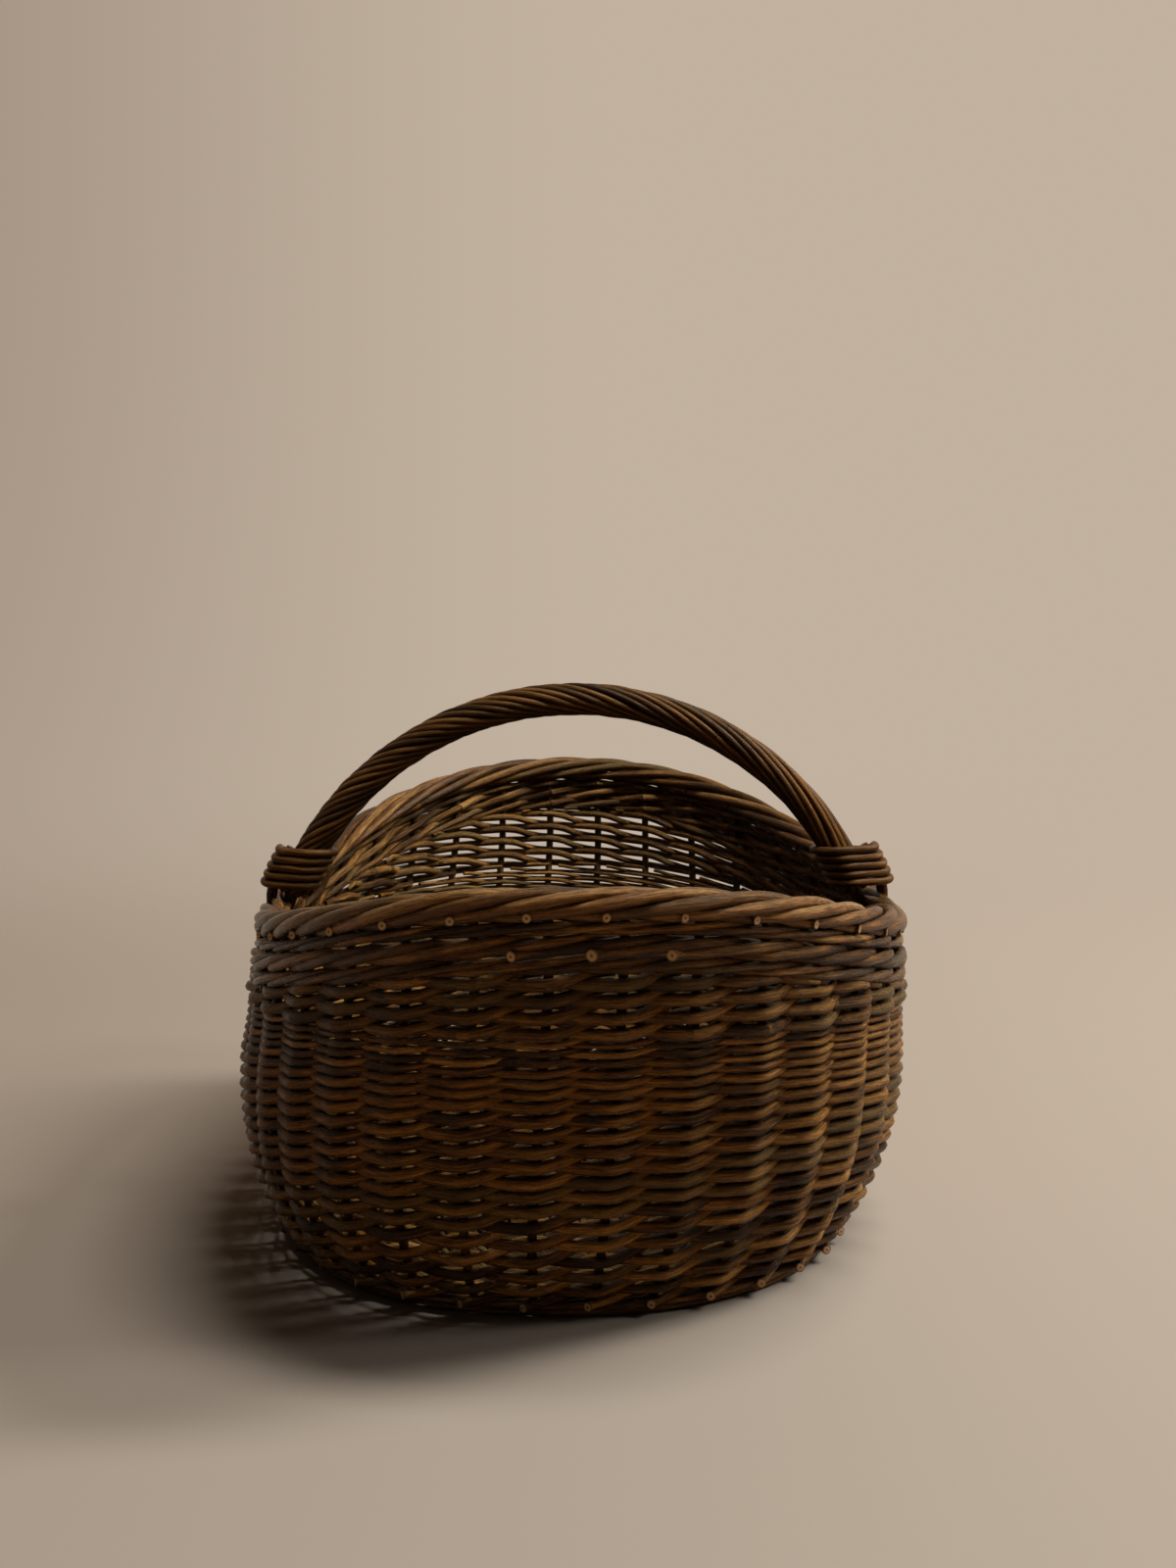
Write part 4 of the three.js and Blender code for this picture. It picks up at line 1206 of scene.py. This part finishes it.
@dataclass
class BowHandle:
    """The bow and the strands that are laid round it. Angles are in degrees from the right."""

    centre_x: float = 2.2
    centre_height: float = 118.0
    bow_radius: float = 173.0
    core_radius: float = 3.95
    core_tint: Colour = (0.3, 0.5, 0.1)
    foot_angle: float = 5.0
    core_points: int = 90
    strands: int = 12
    strand_radius: float = 1.95
    strand_points: int = 130
    lay_radius: float = 7.15
    first_angle: float = 21.5
    slope: Knots = ((20, 45, 90, 135, 160), (0.12, 0.22, 0.42, 0.60, 0.68))
    group_size: int = 4
    group_gap: float = 0.035
    lay_wander: Wander = Wander(0.25, 800, 60.0)
    thickness_wander: Wander = Wander(0.09, 830, 160.0)
    seed: int = 83

    def point(self, degrees: Array, out: Array = 0.0, across: Array = 0.0) -> Array:
        """Point of the bow, out from its middle line and across it, towards the back."""
        a = np.radians(degrees)
        x = self.centre_x + (self.bow_radius + out) * np.cos(a)
        z = self.centre_height + (self.bow_radius + out) * np.sin(a)
        return np.stack(np.broadcast_arrays(x, across, z), axis=-1).astype(float)

    def bow(self) -> Rod:
        """The bow itself, with its feet down inside the wall."""
        points = self.point(np.linspace(-self.foot_angle, 180 + self.foot_angle, self.core_points))
        return Rod.even(points, self.core_radius, self.core_tint)

    def strand(self, number: int, tint: Colour) -> Rod:
        """One strand: it turns fast on the left of the bow and slowly on the right."""
        degrees = np.linspace(180 - self.first_angle, self.first_angle, self.strand_points)
        length = np.radians(degrees[0] - degrees) * self.bow_radius
        rate = np.interp(degrees, *self.slope) / (self.lay_radius + self.strand_radius)
        turned = np.concatenate([[0.0], np.cumsum(np.diff(length) * (rate[1:] + rate[:-1]) / 2)])
        group = (number % self.group_size - (self.group_size - 1) / 2) * self.group_gap
        around = TAU * number / self.strands - group - turned
        lay = self.lay_radius + self.lay_wander.at(length, number)
        points = self.point(degrees, lay * np.cos(around), lay * np.sin(around))
        return Rod(points, self.strand_radius * (1 + self.thickness_wander.at(length, number)), tint)

    def make(self, maker: RodMaker, finishes: Finishes) -> None:
        """Makes the bow and its roping."""
        chance = random.Random(self.seed)
        bow = maker.rods("handle_bow_rod", [self.bow()], finishes.bark["stake"], sides=14)
        strands = [self.strand(number, pick_tint(chance, tone=0.42, spread=0.3, grey=0.5))
                   for number in range(self.strands)]
        roping = maker.rods("handle_roping_strands", strands, finishes.bark["roping"], sides=12, uneven=0.05)
        dress(bow, "willow_stick", "handle_bow")
        dress(roping, "willow_roping", "handle_roping")


@dataclass
class HandleLashing:
    """One winding round a foot of the roping and the two stays beside it."""

    shape: BasketShape
    handle: BowHandle
    side: Side
    rod_radius: float = 2.35
    gap: float = 0.1
    pitch: float = 4.6
    loops: float = 4.55
    loop_points: int = 36
    start_height: float = 185.8
    winding_tint: Colour = (0.62, 0.5, 0.0)
    stay_radius: float = 2.3
    stay_heights: tuple[float, ...] = (166.0, 174.0, 180.5, 184.0, 188.0, 192.0, 196.0, 201.5, 207.0)
    stay_lean: Knots = ((180.5, 188, 196, 207.5), (0, 0.12, 0.42, 1.0))
    face_height: float = 180.0
    face_gap: float = 1.0
    stay_inset: float = 4.4
    stay_reach: float = 10.6
    stays_apart: Span = (1.2, 4.4)
    pair_half: Span = (0.6, 2.2)
    seed: int = 97

    def stay_line(self) -> Array:
        """Middle line between the stays, from inside the border up to the roping."""
        side = self.side.value
        middle = float(self.shape.middle_x(self.face_height))
        face = middle + side * (self.shape.rim_half_width + self.face_gap)
        z = np.array(self.stay_heights)
        x = face - side * (self.stay_inset + self.stay_reach * np.interp(z, *self.stay_lean))
        return np.stack([x, np.zeros_like(x), z], axis=1)

    def stays(self, tints: list[Colour]) -> list[Rod]:
        """The pair of stays, one a little further out than the other."""
        line = self.stay_line()
        apart = np.array([-self.side.value * self.stays_apart[0], self.stays_apart[1], 0.0])
        return [Rod.even(line + (number - 0.5) * apart, self.stay_radius, tint)
                for number, tint in enumerate(tints)]

    def winding(self) -> Rod:
        """One unbroken rod wound round the roping and the stays."""
        side, handle = self.side.value, self.handle
        turn = np.arange(int(self.loops * self.loop_points) + 1) / self.loop_points * TAU
        z = self.start_height + turn / TAU * self.pitch
        sine = (z - handle.centre_height) / handle.bow_radius
        cosine = np.sqrt(1 - sine * sine)
        bow_x = handle.centre_x + side * handle.bow_radius * cosine
        stay = self.stay_line()
        stay_x = np.interp(z, stay[:, 2], stay[:, 0])
        way_x, way_y = -np.cos(turn), -np.sin(turn)

        def reached(middle_x: Array, half_x: Array, half_y: float) -> tuple[Array, Array, Array]:
            """Point of an oval that lies furthest out along the way, and how far out it lies."""
            size = np.hypot(half_x * way_x, half_y * way_y)
            x = middle_x + side * half_x * half_x * way_x / size
            y = half_y * half_y * way_y / size
            return x, y, side * x * way_x + y * way_y

        thick = handle.lay_radius + handle.strand_radius + self.gap + self.rod_radius
        pair_x, pair_y = (self.stay_radius + half + self.gap + self.rod_radius for half in self.pair_half)
        on_bow, on_stays = reached(bow_x, thick / cosine, thick), reached(stay_x, pair_x, pair_y)
        over_bow = on_bow[2] > on_stays[2]
        x, y = (np.where(over_bow, on_bow[axis], on_stays[axis]) for axis in (0, 1))
        return Rod.even(np.stack([x, y, z], axis=1), self.rod_radius, self.winding_tint)

    def make(self, maker: RodMaker, finishes: Finishes) -> None:
        """Makes the winding and the stays of this side."""
        chance = random.Random(self.seed + self.side.value)
        name = self.side.name.lower()
        bark = finishes.bark["roping"]
        tints = [pick_tint(chance, tone=0.4, spread=0.1) for _ in range(2)]
        winding = maker.rods(f"lashing_winding_{name}", [self.winding()], bark, sides=12)
        stays = maker.rods(f"lashing_stays_{name}", self.stays(tints), bark, sides=12)
        dress(winding, "willow_roping", f"lashing_{name}")
        dress(stays, "willow_roping", f"lashing_stay_{name}")


@dataclass(frozen=True)
class SoftBox:
    """A soft lamp: the way to it in degrees, its sizes in metres and how strong it is."""

    name: str
    turn: float
    height: float
    wide: float
    high: float
    level: float
    far: float = 4.5
    colour: Colour = (1.0, 0.985, 0.96)

    def hang(self) -> None:
        """Adds the lamp, turned to the basket."""
        turn, up = math.radians(self.turn), math.radians(self.height)
        way = Vector((math.cos(up) * math.cos(turn), math.cos(up) * math.sin(turn), math.sin(up)))
        data = bpy.data.lights.new(self.name, "AREA")
        data.shape = "RECTANGLE"
        data.size = self.wide
        data.size_y = self.high
        data.energy = self.level * math.pi**2 * self.far**2
        data.color = self.colour
        lamp = add_object(self.name, data)
        lamp.location = way * self.far
        lamp.rotation_euler = way.to_track_quat("Z", "Y").to_euler()


@dataclass
class Studio:
    """Floor and backdrop in one sweep, three soft lamps and the camera. Sizes are in metres."""

    # The left colours are darker than the right ones: painted shade where less lamp light reaches the left.
    floor_left: Colour = (0.352, 0.288, 0.229)
    floor_right: Colour = (0.408, 0.346, 0.283)
    paper_left: Colour = (0.375, 0.295, 0.228)
    paper_right: Colour = (0.537, 0.440, 0.347)
    bounce: Colour = (1.10, 0.86, 0.59)
    floor_shade: Span = (-0.5, 0.4)
    paper_shade: Span = (-1.2, 0.15)
    far_paper: Span = (0.35, 1.5)
    lamps: tuple[SoftBox, ...] = (SoftBox("high_lamp", -20.0, 73.0, 0.7, 2.0, 0.60),
                                  SoftBox("back_lamp", 4.0, 46.0, 0.6, 1.8, 0.66),
                                  SoftBox("low_lamp", -12.0, 36.0, 0.6, 0.8, 0.17))
    fill_colour: Colour = (1.0, 0.80, 0.56)
    fill_level: float = 0.007
    far_colour: Colour = (0.46, 0.38, 0.30)
    half_width: float = 4.0
    front: tuple[float, ...] = (-3.0, -1.5, 0.0, 1.0)
    bend_radius: float = 1.3
    bend_faces: int = 19
    first_bend: float = 0.08
    wall_heights: tuple[float, ...] = (2.2, 4.0)
    floor_gap: float = 0.0002
    camera_place: Place = (-0.024013, -1.051126, 0.371609)
    camera_way: Place = (0.03176, 0.99210, -0.12170)
    focal_pixels: float = 1902.586
    image_height: float = 1600.0
    sensor_height: float = 36.0
    clip_start: float = 0.01

    def paper(self) -> Material:
        """Builds the paper: lit near the basket, and shown at a set level further back."""
        material, make = start_material("studio_paper")
        x, y, _ = make.split(make.place())
        # Both the shown paper and the lit floor grow darker towards the left: painted shade of the light
        # falling off away from the lamps on the right.
        across = make.spread(x, *self.paper_shade, interpolation_type="SMOOTHSTEP")
        shown = make.mix(across, self.paper_left, self.paper_right)
        back = make.spread(y, *self.far_paper, interpolation_type="SMOOTHSTEP")
        seen = make.seen_by_eye_or_gloss()
        floor = make.mix(make.spread(x, *self.floor_shade), self.floor_left, self.floor_right)
        warm = make.mix(1.0, floor, self.bounce, blend_type="MULTIPLY")
        lit = make.one("ShaderNodeBsdfPrincipled", {
            "Base Color": make.mix(seen, warm, floor), "Roughness": 0.9, "Specular IOR Level": 0.1})
        plain = make.one("ShaderNodeEmission", {"Color": shown, "Strength": 1.0})
        mix = make.one("ShaderNodeMixShader", {0: make.math("MULTIPLY", seen, back), 1: lit, 2: plain})
        make.add("ShaderNodeOutputMaterial", {"Surface": mix})
        return material

    def sweep(self) -> None:
        """Makes the floor that curves up into the backdrop."""
        bend = np.linspace(self.first_bend, math.pi / 2, self.bend_faces + 1)
        far = self.front[-1] + self.bend_radius
        profile = [(y, 0.0) for y in self.front]
        profile += [(self.front[-1] + self.bend_radius * math.sin(a), self.bend_radius * (1 - math.cos(a)))
                    for a in bend]
        profile += [(far, z) for z in self.wall_heights]
        verts = [(x, y, z - self.floor_gap) for x in (-self.half_width, self.half_width) for y, z in profile]
        count = len(profile)
        faces = [(i, count + i, count + i + 1, i + 1) for i in range(count - 1)]
        mesh = bpy.data.meshes.new("studio_sweep")
        mesh.from_pydata(verts, [], faces)
        mesh.polygons.foreach_set("use_smooth", [True] * len(faces))
        mesh.materials.append(self.paper())
        add_object("studio_sweep", mesh)

    def light(self) -> None:
        """Adds the lamps and the faint light of the room, and shows far paper where there is none."""
        for lamp in self.lamps:
            lamp.hang()
        world = bpy.data.worlds.new("room")
        bpy.context.scene.world = world
        world.use_nodes = True
        world.node_tree.nodes.clear()
        make = NodeTree(world.node_tree)
        fill = make.one("ShaderNodeBackground", {"Color": (*self.fill_colour, 1.0),
                                                 "Strength": self.fill_level})
        far = make.one("ShaderNodeBackground", {"Color": (*self.far_colour, 1.0), "Strength": 1.0})
        mix = make.one("ShaderNodeMixShader", {0: make.seen_by_eye_or_gloss(), 1: fill, 2: far})
        make.add("ShaderNodeOutputWorld", {"Surface": mix})

    def camera(self) -> None:
        """Adds the camera at the photograph's view."""
        data = bpy.data.cameras.new("view")
        data.sensor_fit = "VERTICAL"
        data.sensor_height = self.sensor_height
        data.lens = self.focal_pixels * self.sensor_height / self.image_height
        data.clip_start = self.clip_start
        camera = add_object("view", data)
        camera.location = self.camera_place
        camera.rotation_euler = Vector(self.camera_way).to_track_quat("-Z", "Y").to_euler()
        bpy.context.scene.camera = camera

    def make(self) -> None:
        """Builds the whole studio."""
        self.sweep()
        self.light()
        self.camera()
        bpy.context.scene.view_settings.view_transform = "Standard"


def finish_base_sticks(bark: Material) -> None:
    """Gives the base sticks, which stay as the solids show them, their bark."""
    for name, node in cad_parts.items():
        if name.startswith(("base_long_stick", "base_cross_stick")):
            node.data.materials.clear()
            node.data.materials.append(bark)


def main() -> None:
    """Builds every piece of the basket and the studio round it."""
    logging.basicConfig(level=logging.INFO, format="%(name)s: %(message)s")
    shape = BasketShape()
    finishes = Finishes()
    maker = RodMaker()
    weave = SideWeave(shape)
    handle = BowHandle()
    WallStakes(shape).make(maker, finishes)
    weave.make(maker, finishes)
    for end in End:
        Packing(weave, end).make(maker, finishes)
    Wales(shape).make(maker, finishes)
    PlaitedBorder(shape).make(maker, finishes)
    WovenBase(shape).make(maker, finishes)
    handle.make(maker, finishes)
    for side in Side:
        HandleLashing(shape, handle, side).make(maker, finishes)
    finish_base_sticks(finishes.bark["stick"])
    Studio().make()


if __name__ == "__main__":
    main()
